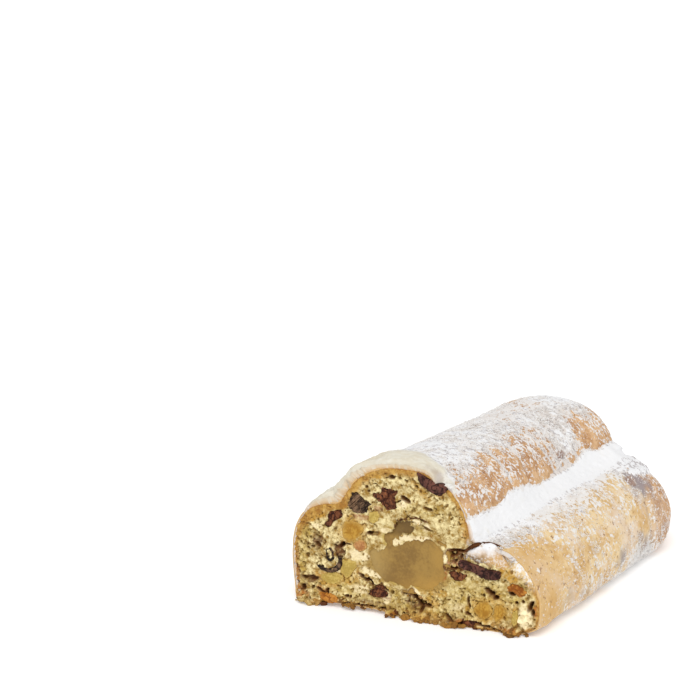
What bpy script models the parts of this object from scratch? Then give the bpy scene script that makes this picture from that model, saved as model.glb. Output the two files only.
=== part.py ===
# Half of a Christmas stollen, cut across: a folded fruit loaf with a rope of marzipan in it.
# Metres, +Z up. The loaf lies along +Y, its cut face is at the low end of Y, and it rests on its
# flat underside. The origin is the middle of the footprint, on the surface that it stands on.

from collections import namedtuple
from math import cos, exp, log, pi, radians, sin

import bmesh
import bpy
from mathutils import Matrix, Vector

# ---- driving dimensions ----
LOAF_LENGTH = 0.140  # from the cut face to the tip of the far end
AXIS_DRIFT = 0.0125  # how far the loaf wanders towards +X over that length
CREASE_BLEND = 0.0010  # softness of the creases where two rolls of dough meet
CREASE_FADE = 1.6  # how much softer they are at the far end
FADE_FROM = 0.095  # distance behind the cut where the creases begin to fade
CORE_HEIGHT = 0.013  # height of the line that the rings of the loft are measured from
NOSE_START = 0.106  # distance behind the cut where the rings begin to fan round the far end
SWELL_REACH = 0.014  # distance over which the rolls recover from the press of the knife

RING_POINTS = 60
BODY_RINGS = 22
NOSE_RINGS = 10

CHIP_WIDTH_FROM = -0.0085  # the underside is broken away on the -X side of this line
CHIP_HEIGHT = 0.0015
CHIP_DEPTH = 0.022

ROPE_CENTRE = (-0.0012, 0.0228)  # marzipan rope, X and Z at the cut face
ROPE_HALF_WIDTH = 0.0152
ROPE_HALF_HEIGHT = 0.0130
ROPE_END_GAP = 0.021  # dough left beyond the rope's hidden end
ROPE_POINTS = 28
ROPE_RINGS = 9

CRUST_SINK = 0.34  # share of its thickness that the middle of a piece lies below the crust
GAP = 0.0003  # clearance between a piece of fruit and the hollow it sits in

# One roll of dough: the middle of its section, half its width and height, how square it is,
# how much it swells behind the knife and climbs by the far end, where it ends and how bluntly.
Roll = namedtuple("Roll", "x z half_width half_height power swell climb tip nose")
ROLLS = (
    Roll(-0.0035, 0.0290, 0.0250, 0.0245, 2.3, 0.070, 0.0006, 0.139, 0.030),  # folded-over hump
    Roll(-0.0315, 0.0200, 0.0145, 0.0180, 2.2, 0.050, 0.0000, 0.133, 0.034),  # shoulder, -X side
    Roll(0.0255, 0.0095, 0.0210, 0.0205, 2.0, 0.040, 0.0060, 0.137, 0.034),  # lip, +X side
    Roll(0.0000, 0.0070, 0.0450, 0.0140, 3.0, 0.005, 0.0000, 0.136, 0.036),  # sole under them all
)

# Fruit that the knife went through: X and Z of its middle on the cut face, width, height, tilt.
Fruit = namedtuple("Fruit", "x z width height tilt")
RAISINS_AT_CUT = (
    Fruit(-0.0204, 0.0395, 0.0098, 0.0086, -20),
    Fruit(-0.0098, 0.0425, 0.0086, 0.0102, 15),
    Fruit(0.0066, 0.0500, 0.0118, 0.0058, -33),
    Fruit(-0.0302, 0.0326, 0.0092, 0.0050, 38),
    Fruit(-0.0318, 0.0168, 0.0094, 0.0076, 28),
    Fruit(0.0266, 0.0222, 0.0162, 0.0070, -24),
    Fruit(0.0168, 0.0182, 0.0078, 0.0042, -4),
    Fruit(-0.0120, 0.0082, 0.0082, 0.0052, 18),
    Fruit(0.0204, 0.0031, 0.0084, 0.0036, 8),
    Fruit(-0.0326, 0.0052, 0.0072, 0.0036, -16),
    Fruit(0.0376, 0.0170, 0.0064, 0.0054, 20),
)
PEELS_AT_CUT = (
    Fruit(-0.0228, 0.0288, 0.0092, 0.0088, 30),
    Fruit(-0.0146, 0.0347, 0.0058, 0.0046, 10),
    Fruit(-0.0232, 0.0158, 0.0044, 0.0080, -22),
    Fruit(-0.0304, 0.0104, 0.0090, 0.0048, 8),
    Fruit(0.0258, 0.0102, 0.0074, 0.0084, 0),
    Fruit(0.0330, 0.0078, 0.0050, 0.0070, -12),
    Fruit(0.0385, 0.0063, 0.0034, 0.0066, -8),
    Fruit(-0.0205, 0.0222, 0.0054, 0.0036, -20),
)

# Fruit that shows through the crust: distance behind the cut, angle round the loaf from +X
# up towards +Z, length along the loaf, and width.
Bump = namedtuple("Bump", "along angle length width")
CRUST_RAISINS = (
    Bump(0.078, 60, 0.0100, 0.0070),
    Bump(0.099, 23, 0.0120, 0.0085),
    Bump(0.093, -6, 0.0100, 0.0070),
    Bump(0.066, 128, 0.0110, 0.0080),
    Bump(0.118, 150, 0.0100, 0.0080),
)
CRUST_PEELS = (
    Bump(0.111, 4, 0.0095, 0.0085),
    Bump(0.088, 160, 0.0085, 0.0070),
)

DOUGH = ((0.80, 0.62, 0.36), 0.75)
MARZIPAN = ((0.36, 0.23, 0.09), 0.55)
RAISIN = ((0.08, 0.03, 0.015), 0.35)
PEEL = ((0.62, 0.36, 0.07), 0.30)


def material(name, colour, roughness):
    made = bpy.data.materials.new(name)
    made.use_nodes = True
    shader = made.node_tree.nodes["Principled BSDF"]
    shader.inputs["Base Color"].default_value = (*colour, 1)
    shader.inputs["Roughness"].default_value = roughness
    shader.inputs["Metallic"].default_value = 0
    made.diffuse_color = (*colour, 1)
    return made


def smooth_step(t):
    t = min(max(t, 0), 1)
    return t * t * (3 - 2 * t)


def roll_distance(roll, x, y, z):
    """Roughly how far a point is outside one roll, its far end a rounded nose. Y is from the cut."""
    share = y / LOAF_LENGTH
    growth = 1 + roll.swell * (1 - exp(-y / SWELL_REACH))
    waver = 0.0005 * sin(y * (58 - roll.x * 600)) + 0.0002 * sin(y * 170 + roll.z * 300)
    across = abs(x - roll.x - AXIS_DRIFT * share - waver) / (roll.half_width * growth)
    up = abs(z - roll.z - roll.climb * share - waver) / (roll.half_height * growth)
    along = max(0, (y - roll.tip + roll.nose) / roll.nose)
    size = across**roll.power + up**roll.power + along**roll.power
    return (size ** (1 / roll.power) - 1) * min(roll.half_width, roll.half_height)


def underside(x, y):
    """Height of the underside: flat, but broken away at one bottom corner of the cut."""
    sideways = smooth_step((CHIP_WIDTH_FROM - x) / 0.0015)
    return CHIP_HEIGHT * sideways * (1 - smooth_step(y / CHIP_DEPTH))


def outside(point):
    """Positive outside the dough, negative inside."""
    x, y, z = point
    fade = smooth_step((y - FADE_FROM) / (LOAF_LENGTH - FADE_FROM))
    blend = CREASE_BLEND * (1 + CREASE_FADE * fade)
    near = sum(exp(-roll_distance(roll, x, y, z) / blend) for roll in ROLLS)
    return max(-blend * log(near + 1e-300), underside(x, y) - z)


def surface_point(start, direction):
    """Where a ray from inside the loaf leaves it. Exactly flat underneath."""
    inner, outer = 0.0, 0.09
    for _ in range(34):
        middle = (inner + outer) / 2
        if outside(start + direction * middle) < 0:
            inner = middle
        else:
            outer = middle
    point = start + direction * inner
    if point.z < 1e-6:
        point.z = 0
    return point


def core_point(y):
    """The inner line that the rings are cast from."""
    return Vector((AXIS_DRIFT * y / LOAF_LENGTH, y, CORE_HEIGHT))


def ring_at(y, fan=0.0):
    """One ring of the loaf's skin. fan turns its rays towards the far end."""
    start = core_point(y)
    points = []
    for step in range(RING_POINTS):
        angle = 2 * pi * step / RING_POINTS
        ray = Vector((cos(angle) * cos(fan), sin(fan), sin(angle) * cos(fan)))
        points.append(surface_point(start, ray))
    return points


def skin(name, rings, tip=None):
    """A closed mesh lofted through rings, capped flat at the first and at a tip or flat at the last."""
    bm = bmesh.new()
    loops = [[bm.verts.new(point) for point in ring] for ring in rings]
    for low, high in zip(loops, loops[1:]):
        for i in range(len(low)):
            j = (i + 1) % len(low)
            bm.faces.new((low[i], low[j], high[j], high[i]))
    bm.faces.new(loops[0])
    last = loops[-1]
    if tip is None:
        bm.faces.new(reversed(last))
    else:
        end = bm.verts.new(tip)
        for i, vert in enumerate(last):
            bm.faces.new((vert, last[(i + 1) % len(last)], end))
    bmesh.ops.recalc_face_normals(bm, faces=bm.faces)
    mesh = bpy.data.meshes.new(name)
    bm.to_mesh(mesh)
    bm.free()
    mesh.shade_smooth()
    mesh.set_sharp_from_angle(angle=radians(50))
    return mesh


def loaf_mesh():
    rings = []
    for step in range(BODY_RINGS):
        rings.append(ring_at(NOSE_START * step / (BODY_RINGS - 1)))
    for step in range(1, NOSE_RINGS + 1):
        rings.append(ring_at(NOSE_START, radians(86) * step / NOSE_RINGS))
    tip = surface_point(core_point(NOSE_START), Vector((0, 1, 0)))
    return skin("loaf", rings, tip)


def rope_ring(y, grow, squeeze=1.0):
    """One ring of the marzipan rope, a little uneven, as it was rolled by hand."""
    points = []
    middle = core_point(y)
    for step in range(ROPE_POINTS):
        angle = 2 * pi * step / ROPE_POINTS
        uneven = 1 + 0.035 * sin(3 * angle + y * 40) + 0.025 * sin(2 * angle - y * 70)
        width = (ROPE_HALF_WIDTH * uneven + grow) * squeeze
        height = (ROPE_HALF_HEIGHT * uneven + grow) * squeeze
        x = middle.x + ROPE_CENTRE[0] + width * cos(angle)
        points.append(Vector((x, y, ROPE_CENTRE[1] + height * sin(angle))))
    return points


def rope_mesh(name, start, grow):
    """The rope from start to its hidden, slightly tapered end. grow makes it the hollow's size."""
    end = LOAF_LENGTH - ROPE_END_GAP
    rings = [rope_ring(start, grow)]
    for step in range(1, ROPE_RINGS):
        rings.append(rope_ring(end * step / ROPE_RINGS, grow))
    rings.append(rope_ring(end - 0.004, grow, 0.93))
    rings.append(rope_ring(end + grow, grow, 0.70))
    return skin(name, rings)


def pebble(name, size, lumps, grow=0.0, square=0.0):
    """A lumpy ellipsoid of three full sizes. square pushes it towards a rounded block."""
    bm = bmesh.new()
    bmesh.ops.create_icosphere(bm, subdivisions=2, radius=1)
    for vert in bm.verts:
        way = vert.co.normalized()
        largest = max(abs(way.x), abs(way.y), abs(way.z))
        bulge = 1 + square * (1 / largest - 1)
        bulge += 0.05 * sin(way.x * 4 + lumps) + 0.05 * sin(way.z * 5 - lumps * 2)
        for axis in range(3):
            vert.co[axis] = way[axis] * (size[axis] / 2 * bulge + grow)
    bmesh.ops.recalc_face_normals(bm, faces=bm.faces)
    mesh = bpy.data.meshes.new(name)
    bm.to_mesh(mesh)
    bm.free()
    return mesh


def shave(mesh, plane, keep):
    """Cuts a closed mesh flat at a plane through a point, keeping the side that keep points to."""
    bm = bmesh.new()
    bm.from_mesh(mesh)
    everything = bm.verts[:] + bm.edges[:] + bm.faces[:]
    cut = bmesh.ops.bisect_plane(
        bm, geom=everything, dist=1e-6, plane_co=plane, plane_no=-keep, clear_outer=True
    )
    rim = [item for item in cut["geom_cut"] if isinstance(item, bmesh.types.BMEdge)]
    if rim:
        bmesh.ops.edgeloop_fill(bm, edges=rim)
    bmesh.ops.recalc_face_normals(bm, faces=bm.faces)
    bm.to_mesh(mesh)
    bm.free()


def add(collection, name, mesh, finish, parent):
    made = bpy.data.objects.new(name, mesh)
    collection.objects.link(made)
    made.parent = parent
    mesh.materials.append(finish)
    return made


def add_cutter(collection, name, mesh, parent):
    made = bpy.data.objects.new(name, mesh)
    collection.objects.link(made)
    made.parent = parent
    made.hide_render = True
    made.display_type = "WIRE"


def fruit_pair(name, size, lumps, square, turn, shaved):
    """The fruit and the hollow around it, both turned into place. shaved cuts the fruit at the knife."""
    inside = pebble(name, size, lumps, square=square)
    inside.transform(turn)
    if shaved:
        shave(inside, Vector((0, 0, 0)), Vector((0, 1, 0)))
    inside.shade_smooth()
    inside.set_sharp_from_angle(angle=radians(50))
    hollow = pebble(name + "_hollow", size, lumps, GAP, square)
    hollow.transform(turn)
    return inside, hollow


def place_cut_fruit(kind, number, fruit, square, parts, cutters, finish, parent):
    name = f"{kind}_{number}"
    depth = 0.55 * (fruit.width + fruit.height)
    turn = Matrix.Rotation(-radians(fruit.tilt), 4, "Y")
    size = (fruit.width, depth, fruit.height)
    inside, hollow = fruit_pair(name, size, number * 1.7, square, turn, True)
    low = min(vert.co.z for vert in hollow.vertices)
    height = max(fruit.z, GAP - low)
    shave(inside, Vector((0, 0, 2 * GAP - height)), Vector((0, 0, 1)))
    add(parts, name, inside, finish, parent).location = (fruit.x, 0, height)
    place = Vector((fruit.x, 0, height))
    hollow.transform(Matrix.Translation(place))
    add_cutter(cutters, name + "_hollow", hollow, parent)


def place_crust_fruit(kind, number, bump, square, parts, cutters, finish, parent):
    """Sits in the skin where a ray from the core leaves it, with only its back standing proud."""
    name = f"{kind}_{number}"
    ray = Vector((cos(radians(bump.angle)), 0, sin(radians(bump.angle))))
    thickness = 0.7 * bump.width
    place = surface_point(core_point(bump.along), ray) - ray * (CRUST_SINK * thickness)
    turn = Matrix.Rotation(-radians(bump.angle), 4, "Y")
    size = (thickness, bump.length, bump.width)
    inside, hollow = fruit_pair(name, size, number * 2.3, square, turn, False)
    add(parts, name, inside, finish, parent).location = place
    hollow.transform(Matrix.Translation(place))
    add_cutter(cutters, name + "_hollow", hollow, parent)


def centre_footprint(base, parts):
    """Moves the empty that everything hangs from, so that the origin is the footprint's middle."""
    low, high = [1, 1], [-1, -1]
    for piece in parts.objects:
        if piece.type != "MESH":
            continue
        for vert in piece.data.vertices:
            for axis in range(2):
                place = vert.co[axis] + piece.location[axis]
                low[axis] = min(low[axis], place)
                high[axis] = max(high[axis], place)
    base.location = (-(low[0] + high[0]) / 2, -(low[1] + high[1]) / 2, 0)


def main():
    for old in list(bpy.data.objects):
        bpy.data.objects.remove(old)
    parts = bpy.data.collections.new("stollen_half")
    cutters = bpy.data.collections.new("hollows")
    for collection in (parts, cutters):
        bpy.context.scene.collection.children.link(collection)

    dough = material("dough", *DOUGH)
    marzipan = material("marzipan", *MARZIPAN)
    raisin = material("raisin", *RAISIN)
    peel = material("candied_peel", *PEEL)

    base = bpy.data.objects.new("footprint", None)
    parts.objects.link(base)

    loaf = add(parts, "loaf", loaf_mesh(), dough, base)
    add(parts, "marzipan", rope_mesh("marzipan", 0.0, 0.0), marzipan, base)
    add_cutter(cutters, "rope_hollow", rope_mesh("rope_hollow", -0.002, GAP), base)

    for number, fruit in enumerate(RAISINS_AT_CUT, 1):
        place_cut_fruit("raisin", number, fruit, 0.0, parts, cutters, raisin, base)
    for number, fruit in enumerate(PEELS_AT_CUT, 1):
        place_cut_fruit("peel", number, fruit, 0.45, parts, cutters, peel, base)
    for number, bump in enumerate(CRUST_RAISINS, 1):
        place_crust_fruit("crust_raisin", number, bump, 0.0, parts, cutters, raisin, base)
    for number, bump in enumerate(CRUST_PEELS, 1):
        place_crust_fruit("crust_peel", number, bump, 0.45, parts, cutters, peel, base)

    centre_footprint(base, parts)
    hollows = loaf.modifiers.new("hollows", "BOOLEAN")
    hollows.operation = "DIFFERENCE"
    hollows.operand_type = "COLLECTION"
    hollows.collection = cutters
    hollows.solver = "EXACT"


main()
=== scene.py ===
from math import cos, pi, radians, sin

import bpy
import numpy as np
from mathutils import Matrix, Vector
from mathutils.bvhtree import BVHTree


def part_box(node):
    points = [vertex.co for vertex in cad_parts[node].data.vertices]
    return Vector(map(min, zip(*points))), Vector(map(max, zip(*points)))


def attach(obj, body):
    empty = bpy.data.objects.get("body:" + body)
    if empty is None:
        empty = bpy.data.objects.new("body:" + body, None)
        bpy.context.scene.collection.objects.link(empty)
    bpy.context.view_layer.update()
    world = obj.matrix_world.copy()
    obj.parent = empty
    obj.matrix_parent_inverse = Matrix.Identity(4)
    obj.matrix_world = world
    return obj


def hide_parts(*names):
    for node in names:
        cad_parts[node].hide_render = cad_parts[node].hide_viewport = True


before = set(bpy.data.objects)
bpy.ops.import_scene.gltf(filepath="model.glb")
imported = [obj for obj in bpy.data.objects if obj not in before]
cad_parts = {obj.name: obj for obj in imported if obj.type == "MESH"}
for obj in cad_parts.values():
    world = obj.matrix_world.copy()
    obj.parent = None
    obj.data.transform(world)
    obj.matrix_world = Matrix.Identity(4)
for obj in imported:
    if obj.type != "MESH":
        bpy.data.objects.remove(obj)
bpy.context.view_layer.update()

mm = 0.001
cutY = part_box("loaf")[0].y  # the cut face is the front of the dough
fruitNames = sorted(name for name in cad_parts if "raisin" in name or "peel" in name)
fruitBoxes = {name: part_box(name) for name in fruitNames}


def say(text):
    print("stollen:", text, flush=True)


def srgb(red, green, blue):
    parts = []
    for value in (red, green, blue):
        share = value / 255
        parts.append(share / 12.92 if share <= 0.04045 else ((share + 0.055) / 1.055) ** 2.4)
    return (*parts, 1)


def ease(value, low, high):
    t = np.clip((value - low) / (high - low), 0, 1)
    return t * t * (3 - 2 * t)


def within(value, start, full, fade, end):
    # 1 between full and fade, easing to 0 at start and end
    return ease(value, start, full) * (1 - ease(value, fade, end))


noiseTable = np.random.default_rng(11).random((64, 64, 64)) * 2 - 1


def noise(points, size, shift=0.0):
    # smooth lumps of about the given size, from -1 to 1
    q = points / size + np.array([shift * 7.3, shift * 3.1 + 0.5, shift * 5.7])
    cell = np.floor(q).astype(int)
    f = q - cell
    f = f * f * (3 - 2 * f)
    cell &= 63
    after = (cell + 1) & 63
    total = 0
    for i in (0, 1):
        for j in (0, 1):
            for k in (0, 1):
                cx = (after if i else cell)[..., 0]
                cy = (after if j else cell)[..., 1]
                cz = (after if k else cell)[..., 2]
                weight = (f[..., 0] if i else 1 - f[..., 0]) * (f[..., 1] if j else 1 - f[..., 1])
                total = total + noiseTable[cx, cy, cz] * weight * (f[..., 2] if k else 1 - f[..., 2])
    return total


def roughNoise(points, size, layers=3, shift=0.0):
    total, strength = 0, 1.0
    for layer in range(layers):
        total = total + strength * noise(points, size / 2**layer, shift + layer * 1.7)
        strength *= 0.55
    return total


def deselectAll():
    for other in bpy.context.selected_objects:
        other.select_set(False)


def nameAll(piece, name):
    piece.name = name
    piece.data.name = name


def storeFields(mesh, fields):
    # one number for each corner, read by the material under its key
    for key, field in fields.items():
        store = mesh.attributes.new(key, "FLOAT", "POINT")
        store.data.foreach_set("value", field.astype(np.float32).ravel())


def cornersOf(mesh):
    corners = np.zeros(len(mesh.vertices) * 3, np.float32)
    mesh.vertices.foreach_get("co", corners)
    return corners.reshape(-1, 3)


def setCorners(mesh, corners):
    mesh.vertices.foreach_set("co", corners.astype(np.float32).ravel())


def looseMesh(name, corners, faces):
    # many small lumps as one piece
    mesh = bpy.data.meshes.new(name)
    mesh.from_pydata(corners.reshape(-1, 3).tolist(), [], faces.reshape(-1, 3).tolist())
    piece = bpy.data.objects.new(name, mesh)
    bpy.context.collection.objects.link(piece)
    return piece


def closedWrap(name, points, fields):
    # a closed skin: rows of points, each row a loop, the first and last rows drawn together to a point
    rows, around = points.shape[:2]
    deselectAll()
    bpy.ops.mesh.primitive_grid_add(x_subdivisions=around, y_subdivisions=rows - 1, size=1)
    piece = bpy.context.object
    nameAll(piece, name)
    setCorners(piece.data, np.concatenate([points, points[:, :1]], axis=1))
    looped = {key: np.concatenate([field, field[:, :1]], axis=1) for key, field in fields.items()}
    storeFields(piece.data, looped)
    bpy.ops.object.mode_set(mode="EDIT")
    bpy.ops.mesh.select_all(action="SELECT")
    bpy.ops.mesh.remove_doubles(threshold=1e-6)
    bpy.ops.mesh.normals_make_consistent(inside=False)
    bpy.ops.object.mode_set(mode="OBJECT")
    bpy.ops.object.shade_smooth()
    return piece


def place(piece, material, slot, *replaced):
    piece.data.materials.clear()
    piece.data.materials.append(material)
    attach(piece, "root")
    if replaced:
        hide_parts(*replaced)
    triangles = sum(len(p.vertices) - 2 for p in piece.data.polygons)
    say(f"{piece.name}: {triangles} triangles")


skin = {
    "around": 400,
    "underShare": 0.38,  # how coarse the underside is beside the rest
    "bodyRows": 150,
    "noseRows": 66,
    "noseStart": 106 * mm,
    "coreHeight": 13 * mm,
    "reach": 90 * mm,
    "nearBack": 2 * mm,  # the middle of the loaf is measured here and at farBack
    "farBack": 100 * mm,
    "fineTurns": 1441,
    "flat": 0.05 * mm,  # lower than this is the flat underside
    "startNudge": 0.3 * mm,
    "fruitMargin": 1.2 * mm,
    "fillPasses": 160,
    "smoothRows": 4.0,
    "smoothAround": 2.0,
}


def treeOf(node):
    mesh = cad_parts[node].data
    corners = [vert.co.copy() for vert in mesh.vertices]
    return BVHTree.FromPolygons(corners, [tuple(p.vertices) for p in mesh.polygons])


loafTree = treeOf("loaf")


def middleAt(y):
    sides = []
    for way in (-1, 1):
        hit = loafTree.ray_cast(Vector((way * skin["reach"], y, skin["coreHeight"])), Vector((-way, 0, 0)))[0]
        sides.append(hit.x)
    return sum(sides) / 2


midCut, midFar = middleAt(cutY + skin["nearBack"]), middleAt(cutY + skin["farBack"])
driftRate = (midFar - midCut) / (skin["farBack"] - skin["nearBack"])
midX = midCut - driftRate * skin["nearBack"]


def coreAt(back):
    return Vector((midX + driftRate * back, cutY + back, skin["coreHeight"]))


def outerHit(start, way):
    hit = loafTree.ray_cast(start + way * skin["reach"], -way)[0]
    return hit if hit is not None else start


def evenAngles():
    # angles spaced by length of skin at the middle of the loaf, wider apart underneath
    start = coreAt(50 * mm)
    fine = np.linspace(0, 2 * pi, skin["fineTurns"])
    ring = np.array([outerHit(start, Vector((cos(a), 0, sin(a)))) for a in fine])
    length = np.linalg.norm(np.diff(ring, axis=0), axis=1)
    under = (ring[1:, 2] < 0.2 * mm) & (ring[:-1, 2] < 0.2 * mm)
    length[under] *= skin["underShare"]
    total = np.concatenate([[0], np.cumsum(length)])
    wanted = np.linspace(0, total[-1], skin["around"], endpoint=False)
    return np.interp(wanted, total, fine)


def nearFruit(points):
    # where a hollow for a piece of fruit breaks the skin
    inside = np.zeros(points.shape[:-1], bool)
    for low, high in fruitBoxes.values():
        centre = np.array((low + high) / 2)
        half = np.array((high - low) / 2) + skin["fruitMargin"]
        inside |= (((points - centre) / half) ** 2).sum(-1) < 1.1
    return inside


def blurWeights(sigma):
    reach = int(3 * sigma)
    weights = np.exp(-0.5 * (np.arange(-reach, reach + 1) / sigma) ** 2)
    return reach, weights / weights.sum()


def blurRows(field, sigma):
    reach, weights = blurWeights(sigma)
    before = 2 * field[:1] - field[reach:0:-1]
    after = 2 * field[-1:] - field[-2:-reach - 2:-1]
    padded = np.concatenate([before, field, after])
    return sum(weight * padded[i:i + len(field)] for i, weight in enumerate(weights))


def blurAround(field, sigma):
    reach, weights = blurWeights(sigma)
    return sum(weight * np.roll(field, i - reach, axis=1) for i, weight in enumerate(weights))


def fillHollows(radius, good):
    # carries the skin smoothly across the places that are not good
    filled = np.where(good, radius, np.median(radius))
    for _ in range(skin["fillPasses"]):
        up = np.concatenate([filled[:1], filled[:-1]])
        down = np.concatenate([filled[1:], filled[-1:]])
        mean = (up + down + np.roll(filled, 1, 1) + np.roll(filled, -1, 1)) / 4
        filled = np.where(good, radius, mean)
    return filled


def readSkin():
    # rays from a core line through the dough find its skin, row by row from the cut to the tip
    angles = evenAngles()
    backs = np.linspace(0, skin["noseStart"], skin["bodyRows"] + 1)
    fans = np.linspace(0, pi / 2, skin["noseRows"] + 1)[1:-1]
    starts = [coreAt(b) for b in backs] + [coreAt(skin["noseStart"])] * len(fans)
    tilts = np.concatenate([np.zeros(len(backs)), fans])
    ways = np.empty((len(tilts), len(angles), 3))
    ways[..., 0] = np.cos(angles) * np.cos(tilts)[:, None]
    ways[..., 1] = np.sin(tilts)[:, None]
    ways[..., 2] = np.sin(angles) * np.cos(tilts)[:, None]
    radius = np.empty(ways.shape[:2])
    nudge = Vector((0, skin["startNudge"], 0))
    for i, start in enumerate(starts):
        source = start + nudge if i == 0 else start
        for j in range(len(angles)):
            radius[i, j] = (outerHit(source, Vector(ways[i, j])) - source).length
    cores = np.array(starts)
    hits = cores[:, None] + ways * radius[..., None]
    filled = fillHollows(radius, ~nearFruit(hits))
    flatUnder = hits[..., 2] < skin["flat"]
    smooth = blurAround(blurRows(filled, skin["smoothRows"]), skin["smoothAround"])
    smooth = np.where(flatUnder, filled, smooth)
    points = cores[:, None] + ways * smooth[..., None]
    points[..., 2] = np.maximum(points[..., 2], 0)
    return angles, points


skinAngles, skinPoints = readSkin()
tip = skinPoints[-1].mean(axis=0) + np.array([0, 0.15 * mm, 0])


def normalsOf(points):
    alongRows = np.gradient(points, axis=0)
    aroundLoop = np.roll(points, -1, 1) - np.roll(points, 1, 1)
    normals = np.cross(aroundLoop, alongRows)
    normals /= np.linalg.norm(normals, axis=2)[..., None] + 1e-12
    outwards = ((points - points.mean(axis=1)[:, None]) * normals).sum() > 0
    return normals if outwards else -normals


skinNormals = normalsOf(skinPoints)
skinBack = skinPoints[..., 1] - cutY
skinTurn = np.broadcast_to(np.degrees(skinAngles), skinBack.shape)
say(f"skin read: {skinPoints.shape[0]} rows of {skinPoints.shape[1]}")


def rowAt(back):
    return np.asarray(back) / skin["noseStart"] * skin["bodyRows"]


def skinAt(rows, turns):
    # places and normals of the skin at fractional rows and at turns in degrees
    ends = np.append(skinAngles, 2 * pi)
    columns = np.interp(np.radians(turns) % (2 * pi), ends, np.arange(len(ends)))
    low = np.clip(np.floor(rows).astype(int), 0, len(skinPoints) - 2)
    left = np.floor(columns).astype(int) % len(skinAngles)
    right = (left + 1) % len(skinAngles)
    down, across = (rows - low)[..., None], (columns - np.floor(columns))[..., None]
    found = []
    for field in (skinPoints, skinNormals):
        near = field[low, left] * (1 - across) + field[low, right] * across
        far = field[low + 1, left] * (1 - across) + field[low + 1, right] * across
        found.append(near * (1 - down) + far * down)
    found[1] /= np.linalg.norm(found[1], axis=-1)[..., None]
    return found


def frontOf(node):
    # middle and half size of what the knife left of a node in the plane of the cut
    corners = np.array([vert.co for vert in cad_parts[node].data.vertices])
    face = corners[abs(corners[:, 1] - cutY) < 0.01 * mm][:, [0, 2]]
    return (face.min(0) + face.max(0)) / 2, (face.max(0) - face.min(0)) / 2


def newGroup(name, inputs, outputs):
    group = bpy.data.node_groups.new(name, "ShaderNodeTree")
    for label, kind, value in inputs:
        socket = group.interface.new_socket(label, in_out="INPUT", socket_type=kind)
        socket.default_value = value
    for label, kind in outputs:
        group.interface.new_socket(label, in_out="OUTPUT", socket_type=kind)
    return group, group.nodes.new("NodeGroupInput"), group.nodes.new("NodeGroupOutput")


def feed(tree, socket, value):
    if isinstance(value, bpy.types.NodeSocket):
        tree.links.new(value, socket)
    else:
        socket.default_value = value


def addNode(tree, kind, settings=None, **inputs):
    # an input is given by its name, or as i and its number
    node = tree.nodes.new(kind)
    for key, value in (settings or {}).items():
        setattr(node, key, value)
    for key, value in inputs.items():
        numbered = key[0] == "i" and key[1:].isdigit()
        feed(tree, node.inputs[int(key[1:])] if numbered else node.inputs[key], value)
    return node


def math(tree, operation, first, second=0.5, clamp=False):
    node = addNode(tree, "ShaderNodeMath", {"operation": operation, "use_clamp": clamp}, i0=first, i1=second)
    return node.outputs[0]


def ramp(tree, value, low, high):
    bounds = {"Value": value, "From Min": low, "From Max": high}
    node = addNode(tree, "ShaderNodeMapRange", {"interpolation_type": "SMOOTHSTEP"}, **bounds)
    return node.outputs["Result"]


def blendColour(tree, share, first, second, kind="MIX"):
    settings = {"data_type": "RGBA", "blend_type": kind}
    return addNode(tree, "ShaderNodeMix", settings, i0=share, i6=first, i7=second).outputs[2]


def noiseNode(tree, scale, detail, roughness, coords=None):
    if coords is None:
        coords = addNode(tree, "ShaderNodeTexCoord").outputs["Object"]
    settings = {"Vector": coords, "Scale": scale, "Detail": detail, "Roughness": roughness}
    return addNode(tree, "ShaderNodeTexNoise", **settings).outputs["Fac"]


def makeSpeckleGroup():
    # powder that lies in specks: Cover from 0, bare, to 1, all white
    group, given, made = newGroup(
        "powderSpecks",
        [("Cover", "NodeSocketFloat", 0.5), ("Scale", "NodeSocketFloat", 1500.0)],
        [("Mask", "NodeSocketFloat"), ("Height", "NodeSocketFloat")],
    )
    coords = addNode(group, "ShaderNodeTexCoord").outputs["Object"]
    fine = noiseNode(group, given.outputs["Scale"], 2.6, 0.66, coords)
    broad = noiseNode(group, 260.0, 2.0, 0.5, coords)
    patch = math(group, "MULTIPLY", math(group, "SUBTRACT", broad, 0.5), 0.8)
    cover = math(group, "ADD", given.outputs["Cover"], patch)
    spread = math(group, "MULTIPLY", math(group, "SUBTRACT", cover, 0.5), 0.44)
    level = math(group, "SUBTRACT", 0.5, spread)
    low = math(group, "SUBTRACT", level, 0.03)
    high = math(group, "ADD", level, 0.03)
    mask = ramp(group, fine, low, high)
    group.links.new(mask, made.inputs["Mask"])
    group.links.new(math(group, "ADD", fine, math(group, "MULTIPLY", mask, 0.6)), made.inputs["Height"])
    return group


def makeMottleGroup():
    # slow change between two colours, with a finer one laid over it
    group, given, made = newGroup(
        "mottle",
        [
            ("First", "NodeSocketColor", (1, 1, 1, 1)),
            ("Second", "NodeSocketColor", (0.5, 0.5, 0.5, 1)),
            ("Broad Scale", "NodeSocketFloat", 150.0),
            ("Fine Scale", "NodeSocketFloat", 900.0),
        ],
        [("Color", "NodeSocketColor")],
    )
    coords = addNode(group, "ShaderNodeTexCoord").outputs["Object"]
    shares = []
    for label, weight in (("Broad Scale", 0.6), ("Fine Scale", 0.4)):
        layer = noiseNode(group, given.outputs[label], 3.0, 0.55, coords)
        shares.append(math(group, "MULTIPLY", layer, weight))
    share = ramp(group, math(group, "ADD", *shares), 0.36, 0.64)
    colour = blendColour(group, share, given.outputs["First"], given.outputs["Second"])
    group.links.new(colour, made.inputs["Color"])
    return group


speckleGroup = makeSpeckleGroup()
mottleGroup = makeMottleGroup()


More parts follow.
